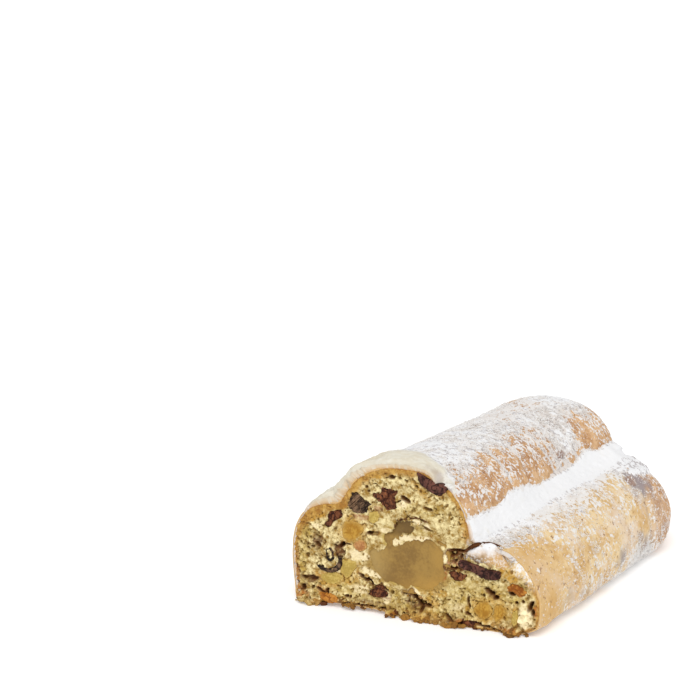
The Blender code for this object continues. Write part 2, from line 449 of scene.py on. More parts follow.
def useGroup(tree, group, **inputs):
    node = tree.nodes.new("ShaderNodeGroup")
    node.node_tree = group
    for key, value in inputs.items():
        feed(tree, node.inputs[key.replace("_", " ")], value)
    return node


def mottled(tree, first, second, broad, fine):
    # a colour that wanders between two, at a broad and a fine scale
    node = useGroup(tree, mottleGroup, First=first, Second=second, Broad_Scale=broad, Fine_Scale=fine)
    return node.outputs["Color"]


def newMaterial(name, roughness, **constants):
    material = bpy.data.materials.new(name)
    material.use_nodes = True
    tree = material.node_tree
    shader = tree.nodes["Principled BSDF"]
    shader.inputs["Roughness"].default_value = roughness
    for key, value in constants.items():
        shader.inputs[key.replace("_", " ")].default_value = value
    return material, tree, shader


def attribute(tree, name):
    return addNode(tree, "ShaderNodeAttribute", {"attribute_name": name}).outputs["Fac"]


def finish(tree, shader, colour, height, strength, distance):
    # the colour and the relief that a material ends with
    node = addNode(tree, "ShaderNodeBump", Height=height, Strength=strength, Distance=distance)
    tree.links.new(colour, shader.inputs["Base Color"])
    tree.links.new(node.outputs["Normal"], shader.inputs["Normal"])


def partOf(tree, name, strength):
    # part of a field stored on the mesh
    return math(tree, "MULTIPLY", attribute(tree, name), strength)


# how much sugar lies at each turn round the loaf, in degrees from +X up over the top
sugarCover = (
    (-180, 0.34), (-165, 0.30), (-150, 0.05), (-40, 0.10), (-26, 0.66), (-20, 0.58), (-10, 0.34), (0, 0.25),
    (18, 0.26), (24, 0.40), (30, 0.56), (35, 0.78), (38, 1.0), (50, 1.0), (53, 0.24), (60, 0.34),
    (68, 0.44), (77, 0.60), (84, 0.76), (122, 0.80), (130, 0.60), (140, 0.62), (146, 0.90), (158, 0.86),
    (168, 0.50), (180, 0.34),
)
# thickness of the moist sugar beside the cut and how far back it reaches, in mm, at each turn
edgeSugar = (
    (52, 0.0, 1), (58, 0.3, 3), (66, 0.5, 5), (74, 0.8, 9), (87, 1.5, 15), (100, 2.3, 22), (112, 3.0, 26),
    (125, 3.8, 28), (137, 4.2, 28), (143, 3.2, 26), (148, 1.6, 20), (153, 0.5, 12), (158, 0.0, 6),
    (176, 0.0, 2),
)
# raisins that lie close under the crust, and one painted shade line along the crease across the far lip (back
# 97): back from the cut, turn, half length, half width and how dark, in mm
raisinStainsAndCreaseShade = (
    (79, 61, 6.0, 3.0, 0.75), (102, 24, 11.0, 6.5, 0.85), (93, -8, 9.0, 5.0, 0.7), (112, 30, 5.0, 3.0, 0.5),
    (68, -4, 5.5, 3.5, 0.75), (86, -1, 5.0, 3.0, 0.6), (107, 6, 6.0, 9.0, 0.2), (97, 4, 2.4, 12.0, 0.22),
    (36, -8, 6.0, 2.5, 0.35), (60, 74, 5.0, 2.0, 0.25), (22, -6, 5.0, 3.0, 0.30), (48, 8, 5.0, 2.5, 0.18),
    (70, -14, 7.0, 2.5, 0.25), (66, 142, 6.0, 3.0, 0.5), (118, 130, 6.0, 3.0, 0.5),
    (50, 176, 6.0, 3.0, 0.4), (124, 60, 5.0, 3.0, 0.35),
)


# sides of the loaf by turn: where each starts, is full, fades and ends
sides = {
    "lip": (-30, -10, 20, 30),
    "lipFront": (-34, -20, 18, 28),
    "lipCrease": (-16, -8, 10, 22),
    "lipTear": (2, 10, 38, 44),
    "hump": (46, 54, 72, 84),
    "humpFront": (52, 58, 70, 80),
    "humpAndTop": (40, 56, 150, 170),
    "left": (145, 152, 176, 184),
}
arcLength = 0.62  # mm of skin to a degree of turn


def signedTurn(turn):
    return (turn + 180) % 360 - 180


def sugarAt(points, normals, back, turn):
    # how much sugar lies at each place, from 0, bare, to 1, all white
    turns, cover = zip(*sugarCover)
    turn = signedTurn(turn)
    scallop = noise(points * np.array([0.3, 1, 0.3]), 11 * mm, 31.0) * np.exp(-((turn - 52) / 8) ** 2)
    bare = np.interp(turn + 3.5 * scallop, turns, cover)
    # rubbed off beside the cut on the lip
    bare = bare * (1 - 0.6 * within(turn, *sides["lipFront"]) * (1 - ease(back, 6 * mm, 40 * mm)))
    # more on the far hump side, less over the raisin stains and the painted crease shade
    farHump = 0.22 * within(turn, *sides["humpFront"]) * within(back, 66 * mm, 80 * mm, 90 * mm, 100 * mm)
    bare = bare + farHump - 0.12 * stainAndCreaseShadeAt(back, turn)
    # a drift low on the far lip
    bare = bare + 0.35 * np.exp(-((back / mm - 90) / 18) ** 2 - ((turn + 12) / 8) ** 2)
    # rubbed off beside the cut on the left
    bare = bare * (1 - 0.8 * within(turn, *sides["left"]) * (1 - ease(back, 3 * mm, 16 * mm)))
    upward = 0.26 + 0.56 * np.clip(normals[..., 2], -0.4, 1)
    end = ease(back, 110 * mm, 130 * mm)
    cover = bare * (1 - end) + upward * end
    uneven = 0.16 * roughNoise(points, 9 * mm, 3, 30.0) * within(cover, 0.05, 0.2, 0.86, 0.98)
    return np.clip(cover + uneven, 0, 1)


def stainAndCreaseShadeAt(back, turn):
    # dark stain of the raisins under the crust, and painted shade along the far-lip crease
    dark = np.zeros_like(back)
    for place, way, long, wide, deep in raisinStainsAndCreaseShade:
        across = signedTurn(turn - way) * arcLength
        q = np.hypot((back / mm - place) / long, across / wide)
        q = q + 0.3 * np.sin(back / mm * 0.9 + way) * np.sin(across * 0.8 + place)
        dark = np.maximum(dark, deep * (1 - ease(q, 0.25, 1.25)))
    return dark


crust = {
    "wall": 0.7 * mm,
    "recess": 6.5 * mm,
    "lump": 0.55 * mm,
    "pleat": 0.42 * mm,
    "grain": 0.12 * mm,
    "lumpSize": 14 * mm,
    "pleatSize": 5.0 * mm,
    "grainSize": 1.4 * mm,
    "creases": ((34, 0.8), (48, 0.6), (68, 0.9), (90, 0.6), (101, 0.5)),  # on the hump side: mm back, depth
    "creaseWidth": 1.1,
    "creaseLean": 0.12,  # mm back for each degree of turn
    "seamBack": 98,  # the one crease across the far lip
    "seamDepth": 1.7 * mm,
    "seamWidth": 1.5,
    "cutZone": 9 * mm,  # rows nearer the cut than this follow the rounded edge
    "gold": srgb(204, 164, 106),
    "paleGold": srgb(230, 205, 160),
    "bloom": srgb(228, 210, 190),
    "toasted": srgb(208, 166, 102),
    "tan": srgb(218, 180, 138),
    "deepTan": srgb(178, 132, 90),
    "scorched": srgb(132, 88, 58),
    # grey under heavy sugar: partly the dough seen through the powder, partly painted shade between the
    # grains
    "veiled": srgb(176, 158, 146),
    "underneath": srgb(158, 108, 56),
    "broken": srgb(212, 176, 120),
    "stain": srgb(144, 136, 142),
    "powder": srgb(234, 233, 232),
}
# how far the torn edge of the cut is rounded back, in mm, at each turn
edgeRound = (
    (-60, 0.4), (-8, 0.6), (6, 1.6), (20, 2.6), (36, 2.4), (44, 0.6), (70, 0.3), (180, 0.4), (300, 0.4),
)


def roundingAt(turn):
    turns, depth = zip(*edgeRound)
    return np.interp(signedTurn(turn), turns, depth) * mm


def cornerDrop(points):
    # the left corner of the dough sags to the table beside the cut
    beside = (midX - 33 * mm - points[..., 0]) / mm
    share = ease(beside, 0, 5) * (1 - ease(points[..., 1] - cutY, 3 * mm, 12 * mm))
    low = 1 - ease(points[..., 2], 3 * mm, 8 * mm)
    return points[..., 2] * (1 - 0.9 * share * low)


def crustLift(turn, cover, humpSide, lipSide):
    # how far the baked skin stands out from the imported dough
    lumps = roughNoise(skinPoints, crust["lumpSize"], 2, 1.0)
    pleats = noise(skinPoints * np.array([0.4, 1.7, 0.4]), crust["pleatSize"], 4.0)
    grain = roughNoise(skinPoints, crust["grainSize"], 2, 7.0)
    back = skinBack / mm
    lift = crust["lump"] * lumps + crust["pleat"] * pleats * (0.25 + 0.9 * humpSide + 0.25 * lipSide)
    for place, deep in crust["creases"]:
        bend = back - place - crust["creaseLean"] * (turn - 60) - 1.2 * noise(skinPoints, 9 * mm, place)
        lift = lift - deep * mm * np.exp(-(bend / crust["creaseWidth"]) ** 2) * humpSide
    seam = back - crust["seamBack"] - 2.5 * ease(turn, -5, 15) - noise(skinPoints, 6 * mm, 9.0)
    crease = crust["seamDepth"] * np.exp(-(seam / crust["seamWidth"]) ** 2)
    lift = lift - crease * within(turn, *sides["lipCrease"])
    lift = lift + crust["grain"] * grain * (0.5 + cover)
    return lift * ease(skinPoints[..., 2], 0, 4 * mm) * (0.35 + 0.65 * ease(skinBack, 0, 6 * mm))


def crustRim(face):
    # the wall that shows at the cut: its front edge, its inner edge, the recess and the hub that shuts it
    face[:, 1] += 0.2 * mm * noise(face, 2.2 * mm, 2.0) - 0.15 * mm
    towards = coreAtCut - face
    towards[:, 1] = 0
    towards /= np.linalg.norm(towards, axis=1)[:, None]
    face += towards * 0.12 * mm
    inner = face + towards * crust["wall"]
    inner[:, 1] += 0.15 * mm
    deep = inner.copy()
    deep[:, 1] = cutY + crust["recess"]
    hub = np.tile(deep.mean(axis=0), (len(deep), 1))
    return np.stack([hub, deep, inner, face])


def makeCrust():
    turn = signedTurn(skinTurn)
    cover = sugarAt(skinPoints, skinNormals, skinBack, turn)
    humpSide, lipSide = within(turn, *sides["hump"]), within(turn, *sides["lip"])
    lift = crustLift(turn, cover, humpSide, lipSide)
    points = skinPoints + skinNormals * lift[..., None]
    points[..., 2] = np.maximum(cornerDrop(points), 0)
    rounding, zone = roundingAt(turn), crust["cutZone"]
    rounded = cutY + rounding + skinBack * (zone - rounding) / zone
    points[..., 1] = np.where(skinBack < zone, rounded, points[..., 1])
    rimRows = crustRim(points[0].copy())
    end = np.tile(tip, (1, len(skinAngles), 1))
    rosy = within(turn, *sides["humpAndTop"]) + ease(skinBack, 97 * mm, 106 * mm)
    flatness = 1 - ease(abs(lift) / mm, 0.0, 0.5) + ease(-lift / mm, 0.1, 0.7)
    fields = {
        "cover": cover,
        "under": 1 - ease(points[..., 2], 0.1 * mm, 3 * mm),
        "rosy": np.clip(rosy, 0, 1),
        "stain": stainAndCreaseShadeAt(skinBack, turn),
        "baked": 0.35 + 0.65 * np.clip(flatness, 0, 1),
        "toasted": 0.6 * lipSide * (1 - ease(skinBack, 6 * mm, 28 * mm)),
    }
    blank = np.zeros_like(rimRows[..., 0])
    values = {key: np.concatenate([blank, field, field[-1:]]) for key, field in fields.items()}
    values["broken"] = np.concatenate([blank + 1, np.zeros((len(cover) + 1, cover.shape[1]))])
    return closedWrap("crust", np.concatenate([rimRows, points, end]), values)


def crustMaterial():
    material, tree, shader = newMaterial("bakedCrustWithSugar", 0.75, Specular_IOR_Level=0.25)
    cover = attribute(tree, "cover")
    specks = useGroup(tree, speckleGroup, Cover=cover, Scale=720.0)
    golden = mottled(tree, crust["paleGold"], crust["gold"], 110.0, 700.0)
    rosy = mottled(tree, crust["tan"], crust["deepTan"], 160.0, 900.0)
    bloom = math(tree, "MULTIPLY", ramp(tree, noiseNode(tree, 75.0, 3.0, 0.6), 0.46, 0.66), 0.75)
    dough = blendColour(tree, bloom, golden, crust["bloom"])
    dough = blendColour(tree, attribute(tree, "toasted"), dough, crust["toasted"])
    dough = blendColour(tree, attribute(tree, "rosy"), dough, rosy)
    scorch = ramp(tree, noiseNode(tree, 620.0, 4.0, 0.65), 0.58, 0.68)
    scorch = math(tree, "MULTIPLY", scorch, attribute(tree, "baked"))
    dough = blendColour(tree, scorch, dough, crust["scorched"])
    # dough greyed under heavy sugar: partly the dough seen through the powder, partly painted shade between
    # the grains
    powderShadeShare = math(tree, "MULTIPLY", ramp(tree, cover, 0.45, 1.0), 0.85)
    dough = blendColour(tree, powderShadeShare, dough, crust["veiled"])
    for name, colour in (("stain", "stain"), ("under", "underneath"), ("broken", "broken")):
        dough = blendColour(tree, attribute(tree, name), dough, crust[colour])
    white = math(tree, "MULTIPLY", specks.outputs["Mask"], 0.86)
    colour = blendColour(tree, white, dough, crust["powder"])
    finish(tree, shader, colour, specks.outputs["Height"], 0.5, 0.3 * mm)
    return material


coreAtCut = np.array(coreAt(0.0))
crustPiece = makeCrust()

crumb = {
    "spacing": 0.215 * mm,
    "wall": 0.62 * mm,
    "thickness": 6.0 * mm,
    "pores": 1700,
    "poreRadius": 0.25 * mm,
    "poreSpread": 0.50,
    "warp": 0.40 * mm,
    "clump": 0.85 * mm,
    "crinkle": 0.42 * mm,
    "crisp": 0.22 * mm,
    "holes": 0.55 * mm,
    "deepestOut": 3.4 * mm,  # the crumb stands out no further than this, and goes in no deeper than deepestIn
    "deepestIn": 4.6 * mm,
    "light": srgb(240, 223, 168),
    "middle": srgb(152, 116, 42),
    # the colour below serves as painted shade in the dents of the torn bits
    "dark": srgb(128, 98, 42),
    # painted light on the cut: crumb that stands out is brightened as painted highlight, crumb that lies back
    # is darkened as painted shade
    "raised": (1.22, 1.24, 1.26, 1),
    "sunk": (0.44, 0.35, 0.17, 1),
    # the colour below is painted shade for the deepest pits and holes
    "pit": srgb(56, 32, 10),
    "rimLight": srgb(202, 160, 80),
    "rimDark": srgb(156, 106, 36),
    # the colour below is painted shade for torn holes and cracks
    "edge": srgb(168, 112, 48),
    "torn": srgb(104, 58, 22),
    "olive": srgb(186, 158, 78),
    "gold": srgb(190, 144, 56),
    "paste": srgb(166, 134, 70),
    "amber": srgb(160, 98, 34),
    "rose": srgb(170, 118, 80),
    "brown": srgb(104, 66, 26),
    "cream": srgb(240, 222, 178),
}
# width of the golden band inside the crust, in mm, at each turn
goldBand = (
    (-180, 1.8), (-165, 1.8), (-120, 1.6), (-60, 1.6), (-20, 2.0), (0, 2.6), (10, 4.0), (20, 6.5),
    (34, 6.0), (44, 3.6), (60, 3.2), (80, 3.4), (100, 3.8), (118, 5.2), (132, 6.5), (142, 4.6), (150, 6.0),
    (158, 5.6), (168, 3.4), (180, 1.8),
)
# torn holes in the cut: place beside the middle and above the base, width, height, tilt and depth
tears = (
    (-8.3, 49.8, 1.9, 1.4, 0, 2.0), (-10.2, 49.3, 1.2, 0.7, 0, 1.2), (-17.6, 45.3, 1.0, 0.9, 0, 1.6),
    (-16.8, 43.9, 1.2, 0.9, 0, 1.6), (-2.9, 42.5, 3.5, 1.4, -25, 2.0), (-5.6, 41.4, 2.3, 0.6, 30, 1.3),
    (5.4, 40.2, 3.5, 1.2, -12, 1.5), (-15.2, 29.0, 4.6, 1.2, 8, 2.8), (-26.9, 23.3, 3.1, 1.4, 35, 2.8),
    (-25.0, 23.7, 2.7, 0.5, 0, 2.0), (-37.2, 25.9, 2.7, 2.8, 0, 1.0), (-36.4, 22.4, 2.3, 1.7, -30, 1.7),
    (-38.6, 21.1, 1.9, 1.0, 0, 1.5), (-40.4, 20.5, 1.5, 1.0, 0, 1.2), (-40.4, 17.6, 1.9, 2.1, 0, 1.1),
    (-39.2, 9.6, 5.8, 1.7, 0, 1.5), (-44.4, 7.5, 1.5, 1.0, 0, 1.7), (-42.0, 6.0, 2.3, 2.1, 0, 1.6),
    (-35.2, 5.5, 3.9, 0.9, -30, 2.0), (-32.9, 5.2, 1.2, 2.1, -10, 2.4), (-39.0, 2.5, 0.8, 0.7, 0, 1.8),
    (-25.0, 4.9, 1.5, 1.0, 0, 2.2), (-23.7, 4.7, 0.8, 1.0, 0, 2.2), (-18.7, 12.8, 3.1, 1.2, -38, 2.4),
    (-16.2, 11.2, 3.1, 1.6, -48, 3.0), (-10.6, 9.9, 3.5, 0.8, -33, 2.4), (-13.7, 10.1, 3.9, 0.6, 32, 2.0),
    (-7.9, 8.7, 1.9, 1.4, 0, 1.0), (-2.9, 9.4, 1.9, 1.7, 0, 1.4), (-0.5, 9.9, 2.3, 1.7, 50, 3.0),
    (1.1, 8.2, 3.9, 1.7, -45, 3.6), (2.8, 6.7, 2.7, 2.1, -60, 3.2), (5.4, 6.4, 2.7, 1.6, -20, 3.2),
    (-2.9, 2.1, 1.2, 1.0, 0, 1.2), (0.9, 2.6, 1.5, 0.7, 0, 1.3), (3.5, 4.4, 1.2, 2.8, -20, 1.7),
    (14.2, 2.5, 3.9, 0.8, -38, 2.6), (10.3, 28.7, 3.1, 1.0, -20, 1.6), (14.1, 25.5, 3.9, 1.5, 10, 2.0),
    (13.3, 24.2, 1.5, 1.0, 0, 1.8), (16.7, 27.1, 5.4, 1.0, 0, 2.2), (18.2, 24.7, 1.5, 2.1, 0, 1.8),
    (14.4, 20.8, 5.8, 1.0, -5, 2.2), (20.6, 9.9, 0.9, 2.8, 0, 1.8), (21.1, 7.9, 0.8, 1.7, 0, 1.6),
    (20.8, 5.1, 1.9, 0.9, -10, 2.2), (28.9, 13.7, 3.1, 1.4, -35, 2.6), (30.7, 12.4, 1.5, 1.4, 0, 2.8),
    (27.4, 14.8, 1.9, 0.7, 0, 1.9), (26.3, 12.4, 1.2, 1.0, 0, 1.2), (36.4, 14.5, 1.9, 1.2, 0, 2.6),
    (40.5, 12.4, 1.0, 1.0, 0, 2.0), (38.2, 11.6, 1.0, 0.9, 0, 2.0), (43.3, 11.1, 1.5, 3.1, -20, 3.2),
    (44.0, 8.9, 1.0, 2.4, 0, 2.6), (-14.5, 46.7, 1.9, 0.5, 10, 1.0), (-2.9, 49.1, 1.5, 0.7, -30, 1.3),
    (0.9, 47.6, 1.2, 0.7, 0, 1.1), (-15.2, 2.5, 10.4, 0.7, 0, 3.4), (28.5, 1.5, 10.0, 0.8, -11, 3.0),
    (-25.4, 1.8, 5.4, 0.7, -8, 2.4), (-5.6, 0.1, 1.9, 1.4, 0, 2.4), (0.1, -2.0, 6.2, 0.6, 3, 2.2),
    (5.4, -0.9, 3.1, 0.7, -10, 2.2),
)
# blots of other colours on the cut: place, width, height, tilt and strength
crumbZones = {
    "gold": (
        (-39.2, 33.5, 10.8, 5.9, 20, 0.90), (-31.7, 37.2, 11.6, 2.8, 5, 0.85),
        (-23.0, 45.7, 10.0, 3.8, 40, 0.85), (-15.2, 49.4, 9.2, 1.7, 0, 0.70),
        (-4.5, 52.7, 9.2, 1.7, 0, 0.85), (-23.0, 28.8, 10.8, 11.0, 0, 0.35),
        (2.4, 46.6, 9.2, 3.1, -40, 0.40), (15.2, 46.0, 6.2, 3.4, -50, 0.85),
        (-31.7, 10.7, 10.8, 6.2, 0, 0.50), (29.2, 7.4, 16.2, 8.3, 0, 0.45), (37.6, 6.2, 2.3, 7.6, 0, 0.85),
        (6.9, 11.4, 10.0, 3.4, -8, 0.55), (6.9, 6.6, 5.4, 4.1, 0, 0.40), (10.7, -2.2, 7.7, 3.4, -40, 0.65),
        (34.7, 21.1, 6.9, 3.4, -30, 0.60), (-23.8, 13.8, 6.9, 9.0, -15, 0.45),
        (18.5, 39.2, 2.7, 17.2, 0, 0.50), (5.0, 1.8, 11.6, 4.8, 0, 0.40),
    ),
    "amber": (
        (-42.4, 31.6, 3.5, 2.8, 0, 0.75), (-26.2, 41.1, 3.1, 6.2, 0, 0.60),
        (-27.7, 38.8, 3.5, 2.1, 0, 0.50), (45.6, 10.4, 1.9, 6.2, -15, 0.85),
        (36.5, 1.3, 9.2, 2.1, -8, 0.85), (15.5, -1.8, 3.5, 1.7, 0, 0.80), (-6.8, 0.1, 3.5, 2.8, 0, 0.90),
        (4.7, -0.7, 9.2, 1.4, -5, 0.80), (20.0, 1.3, 9.2, 2.8, 0, 0.75), (-43.6, 4.4, 6.9, 2.8, -15, 0.65),
        (-44.8, 9.9, 1.9, 7.6, 0, 0.50), (-44.8, 19.6, 1.5, 10.3, 0, 0.40),
        (-21.8, 1.4, 6.9, 2.1, -15, 0.60), (-34.8, 5.3, 5.4, 2.8, -30, 0.60),
        (-30.9, 2.6, 6.9, 2.8, -30, 0.70), (11.1, 17.2, 3.5, 4.1, 0, 0.55), (16.7, 43.1, 2.3, 1.7, 0, 0.50),
        (19.3, 32.8, 1.9, 2.1, 0, 0.40),
    ),
    "brown": (
        # the first two brown blots are a painted shadow line along the top of the hollow over the paste
        (-2.6, 35.6, 6.4, 0.9, 14, 1.00), (2.9, 36.0, 5.6, 0.8, -12, 1.00), (-6.6, 32.6, 1.2, 4.0, 0, 0.80),
        (-36.4, 23.5, 4.6, 4.8, 0, 0.50), (-39.2, 9.3, 6.9, 2.8, 0, 0.55), (-42.0, 6.0, 3.5, 2.8, 0, 0.50),
        (-28.1, 21.4, 3.5, 5.5, -10, 0.60), (-12.9, 7.3, 7.7, 3.4, 0, 0.50),
        (14.8, 25.0, 6.9, 4.8, 0, 0.80), (14.4, 20.4, 8.5, 2.4, 0, 0.85), (18.9, 26.2, 3.1, 3.4, 0, 0.70),
        (0.9, 6.8, 9.2, 4.8, -42, 0.55), (-2.9, 9.4, 2.7, 2.4, 0, 0.50), (29.2, 13.5, 5.8, 2.4, -30, 0.50),
        (20.4, 1.0, 7.7, 1.7, 0, 0.60), (0.1, 34.1, 11.6, 3.4, 5, 0.25), (-3.7, 32.3, 5.4, 4.1, 0, 0.50),
        (-15.2, 3.8, 11.6, 1.7, 0, 0.40), (-4.5, -0.6, 3.9, 2.1, 0, 0.50), (3.5, 5.1, 2.3, 4.1, -20, 0.40),
    ),
    "olive": (
        (-41.2, 25.4, 5.4, 5.5, 0, 0.50), (21.9, 10.4, 29.3, 15.9, 0, 0.34),
        (-0.7, 2.4, 24.6, 9.0, 0, 0.42), (-25.8, 6.5, 26.9, 9.0, 0, 0.32),
        (-43.6, 15.4, 6.2, 20.7, 0, 0.40), (-9.5, 27.7, 4.6, 4.1, 0, 0.60),
        (-26.5, 10.6, 6.2, 4.1, 0, 0.50), (38.0, 12.4, 6.2, 2.8, 0, 0.50), (-7.5, 8.4, 6.2, 3.4, 0, 0.40),
        (5.8, 39.3, 15.4, 4.8, 0, 0.20), (-1.4, 32.5, 13.9, 4.1, 5, 0.35),
        (-10.2, 13.9, 11.6, 3.1, -5, 0.60), (1.6, 11.7, 15.4, 2.1, -4, 0.50),
    ),
    "cream": (
        (-20.7, 20.3, 6.9, 3.4, 0, 0.95), (-29.3, 14.2, 1.9, 4.1, -15, 1.00),
        (-15.6, 14.6, 6.9, 2.4, -22, 0.80), (-0.7, 29.2, 13.9, 1.7, 5, 1.00),
        (-6.0, 27.1, 2.7, 2.1, 0, 1.00), (1.6, 35.0, 3.5, 1.4, 0, 0.90), (5.0, 33.4, 2.3, 2.8, 0, 0.80),
        (12.2, 23.9, 1.3, 3.0, 0, 0.60), (-36.4, 28.8, 4.6, 1.4, 0, 0.60), (-10.2, 30.7, 3.5, 1.7, 0, 0.60),
        (-4.1, 40.6, 3.9, 2.8, 0, 0.60), (41.3, 6.4, 4.6, 8.3, 10, 0.90), (8.1, 50.0, 3.9, 2.1, 0, 0.30),
        (-19.1, 8.2, 7.7, 2.8, 0, 0.50), (-9.8, 6.7, 3.1, 4.1, 0, 0.50), (1.6, 10.4, 3.9, 1.0, -40, 0.80),
        (16.7, 7.0, 5.4, 2.8, 0, 0.35),
    ),
    "rose": (
        (14.8, 22.5, 4.2, 2.1, 0, 0.85), (-19.9, 34.1, 4.6, 1.7, 0, 0.50), (-12.9, 37.7, 3.5, 2.1, 0, 0.50),
        (-10.2, 6.2, 3.9, 1.0, 0, 0.60), (3.1, 8.1, 1.2, 1.0, 0, 0.50), (17.4, -1.5, 2.3, 1.4, 0, 0.70),
    ),
}
# places where the crumb stands out towards the front: place, width, height and how far
swellings = (
    (14.4, 0.8, 7.0, 5.0, 3.2), (-8.3, 1.0, 5.0, 4.0, 2.6), (-33.0, 1.5, 12.0, 4.0, 1.6),
    (3.0, 1.0, 9.0, 4.0, 2.2), (37.0, 1.0, 8.0, 4.0, 2.4), (41.0, 6.5, 7.0, 8.0, 1.4),
    (-43.0, 2.5, 6.0, 4.0, 1.2),
)
# outlines of the fruit in the plane of the cut, in mm beside the middle and above the base
cutShapes = {
    "raisin_1": (
        (-24.4, 42.8), (-22, 43.2), (-20, 42.2), (-18.6, 40.4), (-16.2, 39.9), (-15.4, 39.2), (-16.7, 37.8),
        (-17.5, 36), (-20, 35.1), (-22.9, 35.3), (-24.5, 36.4), (-25.4, 37.8), (-24.9, 39.9), (-23.8, 41.3),
    ),
    "raisin_2": (
        (-11.6, 46.1), (-9, 45.7), (-5.5, 45.1), (-6.5, 43.5), (-7, 43), (-6.7, 41.2), (-6.1, 39.5),
        (-7, 38.1), (-9, 37.6), (-10.5, 37.8), (-11.3, 39.1), (-12.7, 40.2), (-13.9, 40.6), (-15.7, 42.5),
        (-15.4, 43.5), (-12.9, 43.5), (-11.9, 44.3), (-12.7, 45.5),
    ),
    "raisin_3": (
        (1.2, 52.7), (2.8, 52.5), (5.4, 51.1), (8.4, 49.7), (11.1, 49.7), (12.9, 48.8), (12.2, 47.0),
        (10.3, 45.3), (8.1, 45.5), (5.4, 46.9), (3.1, 48.4), (1.6, 50.3),
    ),
    "raisin_4": (
        (-33.3, 33.3), (-31.3, 35.1), (-27.8, 36.1), (-26.6, 34.8), (-27.2, 33.1), (-29.2, 31.7),
        (-30.5, 31), (-31.3, 29.2), (-33.2, 28.4), (-34.3, 29.9), (-32.7, 31.2),
    ),
    "raisin_6": (
        (17.4, 23.9), (18.9, 24.1), (21.1, 23.4), (24.1, 22.8), (27.0, 22.1), (29.2, 21.4), (31.8, 21.9),
        (32.9, 21.2), (32.9, 19.9), (31.1, 18.6), (28.1, 18.2), (25.6, 18.8), (23.3, 19.9), (21.1, 20.6),
        (18.2, 20.6), (17.0, 21.8),
    ),
    "raisin_7": (
        (12.9, 18.8), (15.5, 19.5), (18.2, 19.2), (20.4, 18.8), (19.6, 17.7), (18.2, 16.1), (15.5, 15.8),
        (13.7, 16.9),
    ),
    "raisin_8": (
        (-16.8, 7.8), (-14.5, 9.5), (-12.5, 10.8), (-10.6, 9.7), (-9.1, 7.5), (-10.2, 5.9), (-12.9, 5.5),
        (-15.6, 5.8), (-17.6, 6.3),
    ),
    "raisin_9": (
        (17.9, 2.1), (20.6, 3), (23.3, 2.9), (24.4, 2.4), (22.7, 0.6), (19.9, 0.5), (17.2, 0.9),
    ),
    "raisin_10": (
        (-35.7, 4.6), (-30.3, 4.6), (-28.6, 2.9), (-29.3, 1.7), (-32.2, 1.3), (-35.2, 2.2),
    ),
    "raisin_11": (
        (34.4, 16.6), (36.2, 17.9), (38.4, 18.2), (40.2, 17.1), (41.6, 15.6), (41.3, 14.2), (39.1, 13.6),
        (36.9, 15.0), (34.7, 15.0),
    ),
    "peel_1": (
        (-26.5, 31.5), (-23.8, 32.5), (-21.1, 32.2), (-19.1, 31.0), (-18.3, 29.4), (-19.5, 27.8),
        (-21.1, 26.2), (-22.6, 24.9), (-25.0, 24.6), (-26.9, 26.1), (-27.3, 28.9),
    ),
    "peel_2": (
        (-16.8, 36.2), (-13.7, 37.0), (-12.5, 35.7), (-13.3, 33.5), (-15.2, 32.2), (-16.8, 32.7),
    ),
    "peel_3": (
        (-26.9, 17.7), (-23.8, 18.4), (-21.5, 17.7), (-21.1, 16.0), (-23.0, 13.6), (-24.6, 11.3),
        (-26.5, 11.4), (-27.7, 13.3), (-27.7, 15.8),
    ),
    "peel_4": (
        (-34.8, 11.6), (-31.7, 12.8), (-28.5, 12.9), (-26.5, 11.7), (-27.7, 9.4), (-30.5, 8.0),
        (-33.2, 8.3), (-35.6, 9.8),
    ),
    "peel_5": (
        (23.3, 8.9), (25.2, 10.4), (27.8, 10.6), (29.2, 9.4), (29.6, 7.5), (28.9, 5.3), (27.0, 3.7),
        (24.8, 3.7), (23.0, 5.1), (22.4, 7.1),
    ),
    "peel_6": (
        (30.3, 9.6), (32.2, 10.5), (34.0, 9.4), (34.4, 7.5), (33.3, 5.3), (30.7, 3.5), (29.6, 5.4),
        (30.0, 7.8),
    ),
    "peel_7": (
        (36.9, 8.5), (38.4, 9.1), (39.1, 7.1), (38.7, 4.4), (37.3, 2.8), (36.2, 4.3), (36.5, 6.4),
    ),
    "peel_8": (
        (-22.2, 25.0), (-20.3, 25.9), (-18.0, 25.9), (-17.2, 24.2), (-18.3, 22.3), (-20.3, 21.4),
        (-22.2, 22.2), (-23.0, 23.5),
    ),
}
